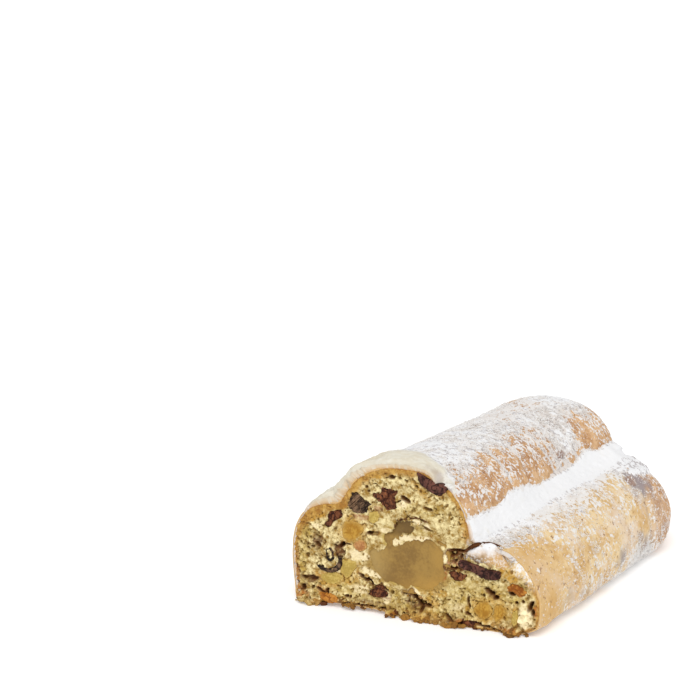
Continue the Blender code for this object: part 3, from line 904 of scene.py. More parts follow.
# where the almond paste shows: the cut rope itself and a hollow over it
pasteShapes = {
    "body": (
        (-17.6, 21), (-16.8, 22.7), (-14.5, 23.2), (-12.1, 23.1), (-10.6, 24.4), (-10, 26.2), (-11, 27.5),
        (-10.6, 29.3), (-9.1, 30), (-7.1, 30.1), (-6.4, 29.1), (-7.5, 27.2), (-7.7, 25.8), (-6, 25.7),
        (-4.1, 26.5), (-1.4, 27.9), (0.9, 28.3), (3.1, 28.3), (6.2, 29.4), (8.1, 28.9), (9.2, 27.7),
        (10.7, 25.8), (11.2, 23.4), (11.1, 20.7), (11.8, 18.3), (13.1, 16.1), (12.6, 14), (9.9, 12.6),
        (6.9, 11.6), (3.1, 11.6), (0.5, 12.3), (-2.2, 10.9), (-4.5, 11.9), (-7.1, 12.6), (-10.2, 12.5),
        (-12.9, 13), (-15.6, 14.6), (-17.2, 16.5), (-18, 18.9),
    ),
    "arch": (
        (-7.9, 30), (-7.1, 32.2), (-5.8, 34.1), (-3.7, 35.2), (-1.4, 36.2), (0.9, 36.5), (3.1, 36.1),
        (5.4, 35.7), (6.9, 34.3), (7.3, 32.3), (6.2, 31.4), (4.7, 32.4), (3.3, 34.2), (1.2, 34.6),
        (-0.1, 33.8), (-0.1, 31.7), (-1.8, 30.1), (-4.1, 29.8), (-5.6, 28.5), (-7.1, 29),
    ),
}
seamRaisin = (
    (
        (-32.8, 20.9), (-31.6, 21.5), (-30.6, 20.3), (-30.3, 18.2), (-31.2, 16.9), (-32.4, 17.4),
        (-33.0, 19.0), (-32.9, 20.6),
    ),
    (
        (-36.6, 14.8), (-35.4, 13.9), (-33.0, 13.2), (-30.6, 13.4), (-28.6, 14.6), (-27.6, 16.6),
        (-28.0, 18.9),
    ),
)

ropeMiddle, ropeHalf = frontOf("marzipan")


def shapeOf(outline):
    # middle of a cut shape, and its radius at even ways round the middle
    corners = np.array(outline) * mm + np.array([midX, 0])
    middle = (corners.min(0) + corners.max(0)) / 2
    after = np.roll(corners, -1, 0)
    ways = np.linspace(0, 2 * pi, 120, endpoint=False)
    radii = np.zeros(len(ways))
    for start, end in zip(corners - middle, after - middle):
        edge = end - start
        across = np.cos(ways) * edge[1] - np.sin(ways) * edge[0]
        across = np.where(abs(across) < 1e-9, 1e-9, across)
        reach = (start[0] * edge[1] - start[1] * edge[0]) / across
        share = (start[0] * np.sin(ways) - start[1] * np.cos(ways)) / across
        hit = (share >= -0.001) & (share <= 1.001) & (reach > 0)
        radii = np.where(hit, np.maximum(radii, reach), radii)
    radii = np.maximum(radii, 0.2 * mm)
    smooth = 0.5 * radii + 0.25 * (np.roll(radii, 1) + np.roll(radii, -1))
    return middle, ways, smooth


def shareOfShape(x, z, outline):
    middle, ways, radii = shapeOf(outline)
    angle = np.arctan2(z - middle[1], x - middle[0]) % (2 * pi)
    reach = np.interp(angle, np.append(ways, 2 * pi), np.append(radii, radii[0]))
    return np.hypot(x - middle[0], z - middle[1]) / reach


def outlineAt(x, z):
    # distance inwards from the outline of the cut, the nearest place on it and the turn round the core
    ring = skinPoints[0].copy()
    ring[:, 2] = cornerDrop(ring)
    ring = ring[:, [0, 2]]
    after = np.roll(ring, -1, 0)
    best = np.full(x.shape, 1.0)
    nearest = np.zeros((*x.shape, 2))
    for start, end in zip(ring, after):
        edge = end - start
        share = np.clip(((x - start[0]) * edge[0] + (z - start[1]) * edge[1]) / (edge @ edge), 0, 1)
        px, pz = start[0] + share * edge[0], start[1] + share * edge[1]
        gap = np.hypot(x - px, z - pz)
        closer = gap < best
        best = np.where(closer, gap, best)
        nearest[closer] = np.stack([px, pz], -1)[closer]
    angle = np.arctan2(z - coreAtCut[2], x - coreAtCut[0]) % (2 * pi)
    turns = np.arctan2(ring[:, 1] - coreAtCut[2], ring[:, 0] - coreAtCut[0]) % (2 * pi)
    radii = np.hypot(ring[:, 0] - coreAtCut[0], ring[:, 1] - coreAtCut[2])
    reach = np.interp(angle, turns, radii, period=2 * pi)
    inside = np.hypot(x - coreAtCut[0], z - coreAtCut[2]) < reach
    return np.where(inside, best, -best), nearest, np.degrees(angle)


def ellipseShare(x, z, cx, cz, halfWidth, halfHeight, tilt):
    # 0 in the middle of an ellipse, 1 on its edge
    turned = radians(tilt)
    dx, dz = x - cx, z - cz
    along = (dx * cos(turned) + dz * sin(turned)) / halfWidth
    across = (-dx * sin(turned) + dz * cos(turned)) / halfHeight
    return np.hypot(along, across)


def spotShare(x, z, u, height, wide, tall, tilt):
    # the same for a spot given in mm beside the middle and above the base
    return ellipseShare(x, z, midX + u * mm, height * mm, wide * mm / 2, tall * mm / 2, tilt)


def insideOf(x, z, outline):
    # distance inside an outline given in mm beside the middle and above the base
    corners = np.array(outline) * mm + np.array([midX, 0])
    nearest = np.full(x.shape, 1.0)
    crossings = np.zeros(x.shape, int)
    for (ax, az), (bx, bz) in zip(corners, np.roll(corners, -1, 0)):
        ex, ez = bx - ax, bz - az
        share = np.clip(((x - ax) * ex + (z - az) * ez) / (ex * ex + ez * ez), 0, 1)
        nearest = np.minimum(nearest, np.hypot(x - ax - share * ex, z - az - share * ez))
        spans = (az > z) != (bz > z)
        reach = ax + (z - az) * ex / (ez if abs(ez) > 1e-9 else 1e-9)
        crossings = crossings + (spans & (x < reach))
    return np.where(crossings % 2 == 1, nearest, -nearest)


def zoneShare(x, z, flat, table, number):
    # soft blots: how much of each place on the cut they take
    wobble = 0.34 * roughNoise(flat, 2.2 * mm, 3, number)
    fine = np.clip(1 + 0.8 * roughNoise(flat, 0.9 * mm, 2, number + 3), 0.3, 1.35)
    share = np.zeros_like(x)
    for *spot, strength in table:
        share = np.maximum(share, strength * (1 - ease(spotShare(x, z, *spot) + wobble, 0.75, 1.4)))
    return np.clip(1.25 * share * fine, 0, 1)


def clumps(x, z, size, number):
    # rounded clumps with creases between them: 1 on top of a clump, 0 in a crease
    rng = np.random.default_rng(number)
    cols = int((x.max() - x.min()) / size) + 5
    rows = int((z.max() - z.min()) / size) + 5
    jitter = rng.random((rows, cols, 2))
    tall = rng.uniform(0.55, 1.0, (rows, cols))
    gx = (x - x.min()) / size + 2
    gz = (z - z.min()) / size + 2
    ix, iz = np.floor(gx).astype(int), np.floor(gz).astype(int)
    first = np.full(x.shape, 9.0)
    second = np.full(x.shape, 9.0)
    height = np.zeros_like(x)
    for di in (-1, 0, 1):
        for dj in (-1, 0, 1):
            ci = np.clip(iz + di, 0, rows - 1)
            cj = np.clip(ix + dj, 0, cols - 1)
            gap = np.hypot(gx - cj - jitter[ci, cj, 0], gz - ci - jitter[ci, cj, 1])
            closer = gap < first
            second = np.where(closer, first, np.minimum(second, gap))
            height = np.where(closer, tall[ci, cj], height)
            first = np.where(closer, gap, first)
    return height * np.clip((second - first) * 1.6, 0, 1) ** 0.55


def poreDepths(x, z):
    # what is left of a foam of small bubbles where the knife went through it
    rng = np.random.default_rng(5)
    flat = np.stack([x, np.zeros_like(x), z], -1)
    wx = x + crumb["warp"] * roughNoise(flat, 1.3 * mm, 3, 3.0)
    wz = z + crumb["warp"] * roughNoise(flat, 1.3 * mm, 3, 5.0)
    depth = np.zeros_like(x)
    step = crumb["spacing"]
    x0, z0 = x[0, 0], z[0, 0]
    middles = np.stack([
        rng.uniform(x.min(), x.max(), crumb["pores"]),
        rng.uniform(-0.5, 2.4, crumb["pores"]) * mm,
        rng.uniform(z.min(), z.max(), crumb["pores"]),
    ], 1)
    middles = middles[np.argsort(middles[:, 1])]
    sizes = crumb["poreRadius"] * np.exp(crumb["poreSpread"] * rng.standard_normal(crumb["pores"]))
    sizes = np.minimum(sizes, 0.8 * mm)
    for (cx, cy, cz), size in zip(middles, sizes):
        long, turned = size * rng.uniform(1.0, 2.2), rng.uniform(0, pi)
        reach = int((long + 2 * crumb["warp"]) / step) + 1
        i, j = int((cz - z0) / step), int((cx - x0) / step)
        rows = slice(max(i - reach, 0), i + reach + 1)
        cols = slice(max(j - reach, 0), j + reach + 1)
        dx, dz = wx[rows, cols] - cx, wz[rows, cols] - cz
        if dx.size == 0:
            continue
        along = (dx * cos(turned) + dz * sin(turned)) / long
        across = (-dx * sin(turned) + dz * cos(turned)) / size
        inside = 1 - along**2 - across**2
        half = size * np.sqrt(np.clip(inside, 0, None))
        here = depth[rows, cols]
        opens = (inside > 0) & (cy - half < here + 0.05 * mm)
        depth[rows, cols] = np.where(opens, np.maximum(here, cy + half), here)
    return depth


def crumbGrid():
    # even places over the cut; those just outside the inner face of the crust are pulled onto it
    ring = skinPoints[0]
    low, high = ring.min(0), ring.max(0)
    low[2] = 0
    across = int((high[0] - low[0]) / crumb["spacing"]) + 1
    upward = int((high[2] - low[2]) / crumb["spacing"]) + 1
    xs = low[0] + crumb["spacing"] * np.arange(across + 1)
    zs = low[2] + crumb["spacing"] * np.arange(upward + 1)
    x, z = np.meshgrid(xs, zs)
    flat = np.stack([x, np.zeros_like(x), z], -1)
    inward, nearest, turn = outlineAt(x, z)
    short = (inward < crumb["wall"]) & (inward > 1e-7)
    pull = np.where(short, crumb["wall"] / np.maximum(inward, 1e-7), 1)
    x = nearest[..., 0] * (1 - pull) + x * pull
    z = nearest[..., 1] * (1 - pull) + z * pull
    return x, z, flat, inward, turn


def crumbTexture(x, z, flat, zones):
    # clumps, bubbles, holes and tears: how deep each place lies, and how much painted shade each torn hole
    # gets, more for deeper tears
    warpX = x + 0.5 * mm * roughNoise(flat, 2.0 * mm, 2, 41.0)
    warpZ = z + 0.5 * mm * roughNoise(flat, 2.0 * mm, 2, 42.0)
    rough = 0.22 + 0.35 * ease(roughNoise(flat, 6 * mm, 2, 43.0), -0.5, 0.7)
    rough = rough + 0.7 * zones["brown"] + 0.6 * zones["olive"] + 0.4 * zones["amber"] - 0.3 * zones["cream"]
    rough = np.clip(rough + 0.5 * (1 - ease(x - midX, -44 * mm, -34 * mm)), 0.1, 1)
    big, small = clumps(warpX, warpZ, 2.0 * mm, 3), clumps(warpX, warpZ, 0.95 * mm, 4)
    tiny = clumps(warpX + 0.3 * mm, warpZ, 0.58 * mm, 6)
    depth = 0.9 * mm * np.tanh(poreDepths(x, z) / (0.9 * mm)) * (0.5 + 0.5 * rough)
    depth = depth + crumb["clump"] * (0.55 - big) * rough
    depth = depth + crumb["crinkle"] * (0.5 - small) * (0.5 + 0.5 * rough)
    depth = depth + crumb["crisp"] * (0.5 - tiny)
    holes = roughNoise(flat, 1.2 * mm, 3, 61.0)
    depth = depth + crumb["holes"] * ease(holes, 0.42 - 0.30 * rough, 0.80 - 0.30 * rough)
    depth = depth + 0.3 * mm * roughNoise(flat, 5 * mm, 2, 14.0)
    torn = np.zeros_like(x)
    wobble = 0.30 * roughNoise(flat, 1.5 * mm, 3, 15.0)
    for *spot, deep in tears:
        q = spotShare(x, z, *spot) + wobble
        depth = depth + 0.9 * deep * mm * (1 - ease(q, 0.55, 1.2))
        torn = np.maximum(torn, (1 - ease(q, 0.9, 2.2)) * min(deep / 2.2, 1))
    for *spot, out in swellings:
        q = spotShare(x, z, *spot, 0) + wobble
        depth = depth - out * mm * (1 - ease(q, 0.1, 1.2))
    return depth, torn


def sinkFruit(x, z, flat, depth):
    # a hollow behind each piece of fruit, with the crumb drawn close round it
    ragged = 0.10 * roughNoise(flat, 1.2 * mm, 2, 23.0)
    for name, outline in cutShapes.items():
        q = shareOfShape(x, z, outline) + ragged
        close = ((0.15 if "peel" in name else 0.40) + 5.0 * np.maximum(q - 1, 0)) * mm
        depth = np.where(q < 1.3, np.minimum(depth, close), depth)
        depth = depth + 2.4 * mm * (1 - ease(q, 0.82, 0.96))
    return depth


def openPaste(x, z, flat, depth):
    # the crumb over the almond paste, opened where the paste shows, and where it takes the paste's colour
    q = ellipseShare(x, z, *ropeMiddle, *ropeHalf, 0)
    seam = 0.5 * mm * roughNoise(flat, 1.5 * mm, 3, 17.0)
    body = insideOf(x, z, pasteShapes["body"]) + seam
    arch = insideOf(x, z, pasteShapes["arch"]) + 0.9 * mm * roughNoise(flat, 1.1 * mm, 3, 26.0)
    bare = np.maximum(ease(body, -0.1 * mm, 0.45 * mm), ease(arch, -0.1 * mm, 0.35 * mm))
    bare = bare * (1 - ease(q, 0.93, 0.98))
    over = (1 - ease(q, 0.9, 1.05)) * (1 - bare)
    depth = depth * (1 - 0.6 * over) - 0.25 * mm * over
    depth = np.where(bare > 0.02, depth + 2.6 * mm * bare, depth)
    beyond = np.maximum(ease(q, 0.8, 0.95), ease(x - ropeMiddle[0], 3 * mm, 8 * mm))
    return depth, over, 0.9 * ease(body, -1.1 * mm, 0.2 * mm) * beyond


def cutMesh(points, values, outside):
    # the torn face and a wall behind it, closed at the back
    deselectAll()
    upward, across = np.array(points.shape[:2]) - 1
    bpy.ops.mesh.primitive_grid_add(x_subdivisions=int(across), y_subdivisions=int(upward), size=1)
    piece = bpy.context.object
    nameAll(piece, "crumb")
    setCorners(piece.data, points)
    storeFields(piece.data, values)
    bpy.ops.object.mode_set(mode="EDIT")
    bpy.ops.mesh.select_mode(type="VERT")
    bpy.ops.mesh.select_all(action="DESELECT")
    bpy.ops.object.mode_set(mode="OBJECT")
    piece.data.vertices.foreach_set("select", outside.ravel())
    bpy.ops.object.mode_set(mode="EDIT")
    bpy.ops.mesh.delete(type="VERT")
    bpy.ops.mesh.select_all(action="SELECT")
    bpy.ops.mesh.region_to_loop()
    bpy.ops.mesh.extrude_region_move()
    bpy.ops.object.mode_set(mode="OBJECT")
    rear = np.zeros(len(piece.data.vertices), bool)
    piece.data.vertices.foreach_get("select", rear)
    corners = cornersOf(piece.data)
    corners[rear, 1] = cutY + crumb["thickness"]
    setCorners(piece.data, corners)
    bpy.ops.object.mode_set(mode="EDIT")
    bpy.ops.mesh.edge_face_add()
    bpy.ops.mesh.quads_convert_to_tris(quad_method="BEAUTY", ngon_method="BEAUTY")
    bpy.ops.mesh.select_all(action="SELECT")
    bpy.ops.mesh.normals_make_consistent(inside=False)
    bpy.ops.object.mode_set(mode="OBJECT")
    bpy.ops.object.shade_smooth()
    return piece


def makeCrumb():
    x, z, flat, inward, turn = crumbGrid()
    zones = {}
    for i, (name, spots) in enumerate(crumbZones.items()):
        zones[name] = zoneShare(x, z, flat, spots, 70.0 + 5 * i)
    plain, torn = crumbTexture(x, z, flat, zones)
    depth, over, zones["paste"] = openPaste(x, z, flat, sinkFruit(x, z, flat, plain))

    base = 1 - ease(z, 1.0 * mm, 5.5 * mm)
    depth = depth - base * (0.4 * mm + 1.2 * mm * roughNoise(flat, 2.6 * mm, 3, 19.0))
    turns, band = zip(*goldBand)
    width = np.interp(signedTurn(turn), turns, band) * mm
    rim = 1 - ease(inward + 0.5 * mm * roughNoise(flat, 3 * mm, 2, 20.0), 0.15 * width, width)
    rim = rim * np.clip(1.15 + 0.6 * roughNoise(flat, 1.4 * mm, 3, 24.0), 0.6, 1.3)
    firm = 1 - ease(inward, 0.2 * width, 0.7 * width + 0.6 * mm)
    flatter = 1 - 0.5 * firm * (1 - base)
    plain = plain * flatter * (1 - 0.6 * over)
    rounding = roundingAt(turn)
    depth = depth * flatter + rounding * (1 - ease(inward, 0, 2.4 * rounding + 0.3 * mm))
    depth = np.clip(depth, -crumb["deepestOut"], crumb["deepestIn"])
    wide = blurRows(blurRows(plain, 5.0).T, 5.0).T
    values = {
        # depth of the crumb, which drives the painted shade in its pits
        "pit": np.clip(plain / (1.6 * mm), -1, 2),
        # how far the crumb lies back from its surroundings, which drives the painted highlight and painted
        # shade
        "fold": np.clip((plain - wide) / (0.45 * mm), -1.5, 2),
        "rim": rim,
        "torn": torn,
        "inward": inward / mm,
        "tanSide": within(signedTurn(turn), *sides["lipTear"]) * rim,
        "base": base,
        **zones,
    }
    outside = inward - crumb["wall"] < -0.72 * crumb["spacing"]
    return cutMesh(np.stack([x, cutY + depth, z], -1), values, outside)


def crumbMaterial():
    material, tree, shader = newMaterial("moistCrumb", 0.62, Specular_IOR_Level=0.3)
    colour = mottled(tree, crumb["light"], crumb["middle"], 420.0, 900.0)
    for name in ("olive", "gold", "paste", "amber", "rose", "brown", "cream"):
        colour = blendColour(tree, attribute(tree, name), colour, crumb[name])
    rim = mottled(tree, crumb["rimLight"], crumb["rimDark"], 420.0, 1500.0)
    rimShare = math(tree, "MULTIPLY", ramp(tree, attribute(tree, "rim"), 0.0, 0.8), 0.95)
    colour = blendColour(tree, rimShare, colour, rim)
    edge = math(tree, "MULTIPLY", ramp(tree, attribute(tree, "inward"), 1.1, 0.6), 0.6)
    colour = blendColour(tree, edge, colour, crumb["edge"])
    pit, fold = attribute(tree, "pit"), attribute(tree, "fold")
    # painted shade in the pits and holes of the crumb, darkest in the deepest
    shaded = math(tree, "MULTIPLY", ramp(tree, pit, 0.25, 1.4), 0.65)
    # painted highlight on crumb that stands out, painted shade on crumb that lies back
    colour = blendColour(tree, ramp(tree, fold, 0.0, -1.2), colour, crumb["raised"], "MULTIPLY")
    colour = blendColour(tree, ramp(tree, fold, 0.0, 1.2), colour, crumb["sunk"], "MULTIPLY")
    colour = blendColour(tree, shaded, colour, crumb["sunk"], "MULTIPLY")
    colour = blendColour(tree, partOf(tree, "base", 0.2), colour, crumb["edge"])
    # painted shade inside the torn holes
    torn = math(tree, "MULTIPLY", ramp(tree, attribute(tree, "torn"), 0.3, 1.0), 0.8)
    colour = blendColour(tree, torn, colour, crumb["torn"])
    colour = blendColour(tree, ramp(tree, pit, 1.0, 2.0), colour, crumb["pit"])
    # the front of the lip is crust, with sugar on it
    tanSide = attribute(tree, "tanSide")
    specks = useGroup(tree, speckleGroup, Cover=0.42, Scale=1250.0)
    powdered = math(tree, "MULTIPLY", tanSide, specks.outputs["Mask"])
    colour = blendColour(tree, tanSide, colour, crust["paleGold"])
    colour = blendColour(tree, powdered, colour, crust["powder"])
    finish(tree, shader, colour, noiseNode(tree, 2400.0, 3.0, 0.6), 0.5, 0.15 * mm)
    return material


crumbPiece = makeCrumb()

marzipan = {
    "around": 160,
    "faceRings": 60,
    "relief": 0.10 * mm,
    "hollow": 0.9 * mm,
    "light": srgb(158, 124, 58),
    "dark": srgb(130, 98, 42),
    "golden": srgb(180, 138, 60),
    "pale": srgb(176, 148, 88),
    "shade": srgb(104, 78, 32),
}


def makeMarzipan():
    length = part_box("marzipan")[1].y - cutY
    angles = np.linspace(0, 2 * pi, marzipan["around"], endpoint=False)
    rings = []
    for share in np.linspace(0, 1, marzipan["faceRings"] + 1):
        grow = share * 1.02
        x = ropeMiddle[0] + grow * ropeHalf[0] * np.cos(angles)
        z = ropeMiddle[1] + grow * ropeHalf[1] * np.sin(angles)
        y = np.full_like(x, cutY + 0.25 * mm * share**6)
        ring = np.stack([x, y, z], -1)
        uneven = roughNoise(ring, 3.5 * mm, 3, 21.0) + 0.5 * noise(ring, 0.8 * mm, 22.0)
        ring[:, 1] += marzipan["relief"] * uneven
        ring[:, 1] += marzipan["hollow"] * ease(z, 28.6 * mm, 30.6 * mm)
        rings.append(ring)
    for back in (0.05, 0.25, 0.5, 0.75, 0.95, 1.0):
        shrink = 1.0 if back < 1 else 0.7
        x = ropeMiddle[0] + driftRate * back * length + shrink * ropeHalf[0] * np.cos(angles)
        z = ropeMiddle[1] + shrink * ropeHalf[1] * np.sin(angles)
        rings.append(np.stack([x, np.full_like(x, cutY + back * length), z], -1))
    rings.append(np.tile(rings[-1].mean(0), (len(angles), 1)))
    rings = np.array(rings)
    u, z = (rings[..., 0] - midX) / mm, rings[..., 2] / mm
    wavy = 1.5 * roughNoise(rings, 5 * mm, 2, 25.0)
    shade = ease(z, 28.4, 30.4)
    golden = 0.7 * (1 - ease(z + wavy, 11.5, 17)) * ease(u + wavy, -10, 4) + 0.4 * ease(u + wavy, 4, 12)
    pale = (1 - ease(u + wavy, -15, -6)) * (1 - 0.6 * ease(z, 22, 26))
    return closedWrap("marzipanRope", rings, {"shade": shade, "golden": np.clip(golden, 0, 1), "pale": pale})


def marzipanMaterial():
    material, tree, shader = newMaterial("almondPaste", 0.5, Specular_IOR_Level=0.35)
    colour = mottled(tree, marzipan["light"], marzipan["dark"], 120.0, 1100.0)
    colour = blendColour(tree, attribute(tree, "golden"), colour, marzipan["golden"])
    colour = blendColour(tree, partOf(tree, "pale", 0.6), colour, marzipan["pale"])
    colour = blendColour(tree, partOf(tree, "shade", 0.75), colour, marzipan["shade"])
    finish(tree, shader, colour, noiseNode(tree, 1800.0, 3.0, 0.6), 0.35, 0.12 * mm)
    return material


marzipanPiece = makeMarzipan()

# dark and light colour of each finish: the dark one lies in the sunk folds as painted shade, the light one on
# the raised folds as painted highlight, over the fruit's own streaks
fruit = {
    "blackRaisin": (srgb(24, 10, 3), srgb(134, 104, 78)),
    "redRaisin": (srgb(50, 16, 6), srgb(136, 82, 50)),
    "purpleRaisin": (srgb(36, 14, 10), srgb(112, 70, 58)),
    "goldenRaisin": (srgb(138, 76, 20), srgb(196, 134, 56)),
    "orangePeel": (srgb(160, 112, 28), srgb(194, 150, 60)),
    "citronPeel": (srgb(172, 144, 66), srgb(202, 176, 96)),
    "pinkPeel": (srgb(160, 104, 56), srgb(196, 144, 90)),
    "crustRaisin": (srgb(146, 122, 112), srgb(178, 154, 138)),
}
paleRind = srgb(206, 174, 98)
fruitCover = 0.30  # sugar on the fruit that shows through the crust
# which finish each piece takes, how deep its folds are and how far it stands back from the cut, in mm
fruitLooks = {
    "raisin_1": ("blackRaisin", 0.55, 0.5), "raisin_2": ("redRaisin", 0.50, 0.3),
    "raisin_3": ("purpleRaisin", 0.40, -0.5), "raisin_4": ("redRaisin", 0.45, 0.7),
    "raisin_6": ("purpleRaisin", 0.40, -0.7), "raisin_7": ("redRaisin", 0.40, 0.6),
    "raisin_8": ("redRaisin", 0.40, 0.7), "raisin_9": ("redRaisin", 0.35, 0.2),
    "raisin_10": ("goldenRaisin", 0.35, -0.3), "raisin_11": ("goldenRaisin", 0.35, 0.3),
    "peel_1": ("orangePeel", 0.14, 0.1), "peel_2": ("citronPeel", 0.12, 0.2),
    "peel_3": ("citronPeel", 0.14, 0.1), "peel_4": ("citronPeel", 0.16, 0.1),
    "peel_5": ("orangePeel", 0.12, 0.2), "peel_6": ("orangePeel", 0.14, 0.2),
    "peel_7": ("citronPeel", 0.16, 0.0), "peel_8": ("pinkPeel", 0.20, 0.1),
}


def skinName(node):
    return node.replace("_", "") + "Skin"


def makeCutFruit(node, fold, back, number):
    middle, ways, radii = shapeOf(cutShapes[node])
    rear = fruitBoxes[node][1].y
    depth = rear - cutY
    around = np.stack([np.cos(ways), np.sin(ways), np.full(len(ways), number * 1.0)], -1)
    radii = radii * (1.03 + 0.12 * roughNoise(around, 0.30, 3, number * 2.3))
    # rows over the cut face, sunk in the middle and rolled over at the edge, then rows back to the rear
    rows = []
    for size in (*np.linspace(0, 0.9, 22), 0.95, 0.99):
        sag = back * mm - 0.35 * mm * (1 - size**2) + 0.9 * mm * max(size - 0.88, 0) / 0.12 * 0.5
        rows.append((size, cutY + sag))
    frontRows = len(rows)
    shoulder = (back + 0.5) * mm
    for way in (0.2, 0.45, 0.7, 0.88, 0.97):
        rows.append((1.03 * cos(way * pi / 2) ** 0.6, cutY + shoulder + way * (depth - shoulder)))
    rows.append((0, rear))
    points = np.zeros((len(rows), len(ways), 3))
    for i, (size, y) in enumerate(rows):
        points[i, :, 0] = middle[0] + size * radii * np.cos(ways)
        points[i, :, 2] = middle[1] + size * radii * np.sin(ways)
        points[i, :, 1] = y
    # folds run along the piece; the big raisin's run slantwise
    lean = np.array([1.2, 0.6, 1.0])
    turned = points.copy()
    if node == "raisin_1":
        lean = np.array([1.0, 0.6, 1.6])
        turned[..., 0] = 0.35 * (points[..., 0] + points[..., 2])
        turned[..., 2] = 1.3 * (points[..., 2] - points[..., 0])
    folds = np.abs(roughNoise(turned * lean, 1.9 * mm, 3, number * 1.3)) ** 0.7
    front = (points[..., 1] < cutY + 1.2 * mm) * 1.0
    points[..., 1] -= front * fold * mm * (folds - 0.45) * 1.3
    points[..., 2] = np.maximum(points[..., 2], 0.3 * mm)
    points[0] = points[0].mean(0)
    edge = np.ones((len(rows), len(ways)))
    edge[:frontRows] = np.array([size for size, y in rows[:frontRows]])[:, None]
    return closedWrap(skinName(node), points, {"fold": folds, "edge": edge})


def sweep(name, path, radii, around=12):
    # a tube with shut ends along a path in space
    path = np.array(path)
    fine = []
    for a, b in zip(path[:-1], path[1:]):
        fine.extend(a + (b - a) * t for t in np.linspace(0, 1, 5, endpoint=False))
    fine = np.array(fine + [path[-1]])
    for _ in range(3):
        fine[1:-1] = (fine[:-2] + 2 * fine[1:-1] + fine[2:]) / 4
    along = np.gradient(fine, axis=0)
    along /= np.linalg.norm(along, axis=1)[:, None]
    side = np.cross(along, [0, 1, 0])
    side /= np.linalg.norm(side, axis=1)[:, None]
    lift = np.cross(side, along)
    widths = np.interp(np.linspace(0, 1, len(fine)), np.linspace(0, 1, len(radii)), radii)
    turns = np.linspace(0, 2 * pi, around, endpoint=False)
    rings = [np.tile(fine[0], (around, 1))]
    for spot, across, up, width in zip(fine, side, lift, widths):
        rings.append(spot + width * (np.cos(turns)[:, None] * across + np.sin(turns)[:, None] * up))
    rings.append(np.tile(fine[-1], (around, 1)))
    rings = np.array(rings)
    rings += 0.16 * mm * roughNoise(rings, 1.1 * mm, 2, 51.0)[..., None]
    rings[0], rings[-1] = rings[0].mean(0), rings[-1].mean(0)
    return closedWrap(name, rings, {"fold": np.abs(noise(rings, 1.2 * mm, 52.0))})


def joined(name, pieces):
    deselectAll()
    for piece in pieces:
        piece.select_set(True)
    bpy.context.view_layer.objects.active = pieces[0]
    bpy.ops.object.join()
    nameAll(pieces[0], name)
    return pieces[0]


def cutPlaces(spots, back):
    # places given in mm beside the middle and above the base, a little way back from the cut
    return [(midX + u * mm, cutY + back * mm, z * mm) for u, z in spots]


def makeSeamRaisin():
    ring, crescent = seamRaisin
    loop = sweep("loop", cutPlaces(ring, 0.1), np.array([0.4, 0.6, 0.5, 0.5, 0.4]) * mm)
    curve = sweep("curve", cutPlaces(crescent, 0.3), np.array([0.3, 0.8, 0.9, 1.1, 1.1, 0.6]) * mm)
    return joined(skinName("raisin_5"), [loop, curve])


def makeCrustFruit(node, number):
    # a piece that only just breaks the crust
    low, high = fruitBoxes[node]
    centre, half = np.array((low + high) / 2), np.array((high - low) / 2)
    deselectAll()
    bpy.ops.mesh.primitive_ico_sphere_add(subdivisions=5, radius=1)
    piece = bpy.context.object
    nameAll(piece, skinName(node))
    way = cornersOf(piece.data).astype(float)
    way /= np.linalg.norm(way, axis=1)[:, None]
    folds = np.abs(roughNoise(way + number, 0.7, 3, number * 1.3)) ** 0.7
    core = np.array(coreAt(centre[1] - cutY))
    centre = centre + 0.7 * mm * (core - centre) / np.linalg.norm(core - centre)
    setCorners(piece.data, centre + way * half * (0.82 + 0.14 * (folds - 0.5))[:, None])
    storeFields(piece.data, {"fold": folds, "cover": np.full(len(folds), fruitCover)})
    bpy.ops.object.shade_smooth()
    return piece


def fruitMaterial(name, gloss, dusty, paleEdge):
    dark, light = fruit[name]
    coat = {"Coat_Weight": gloss, "Coat_Roughness": 0.25}
    material, tree, shader = newMaterial(name, 0.45, Specular_IOR_Level=0.15, **coat)
    body = mottled(tree, light, dark, 320.0, 1300.0)
    # painted shade in the sunk folds and painted highlight on the raised ones, over the fruit's own streaks
    colour = blendColour(tree, ramp(tree, attribute(tree, "fold"), 0.05, 0.55), dark, body)
    if paleEdge:
        rind = math(tree, "MULTIPLY", ramp(tree, attribute(tree, "edge"), 0.55, 1.0), paleEdge)
        colour = blendColour(tree, rind, colour, paleRind)
    if dusty:
        specks = useGroup(tree, speckleGroup, Cover=attribute(tree, "cover"), Scale=1250.0)
        colour = blendColour(tree, specks.outputs["Mask"], colour, crust["powder"])
    finish(tree, shader, colour, noiseNode(tree, 1500.0, 3.0, 0.55), 0.35, 0.12 * mm)
    return material


sugar = {
    "white": srgb(235, 235, 236),
    "moist": srgb(226, 221, 206),
    "moistShade": srgb(216, 206, 184),
    "hollow": srgb(206, 190, 174),
    "soaked": srgb(208, 168, 116),
    "dusky": srgb(160, 138, 122),
    "grit": srgb(150, 138, 136),
    "grid": 0.43,
    "reach": 127,  # how far back the sheets go, in mm
    "valleyTurn": 44,  # the groove between hump and lip
    "under": 1.2 * mm,  # how deep the closed underside of a sheet lies
    "ceiling": 57.3 * mm,
}


def edgeThickness(back, turn):
    turns, thick, reach = zip(*edgeSugar)
    height = np.interp(signedTurn(turn) % 360, turns, thick)
    length = np.interp(signedTurn(turn) % 360, turns, reach)
    fade = 1 - ease(back / mm, 0.35 * length, length)
    return height * mm * fade


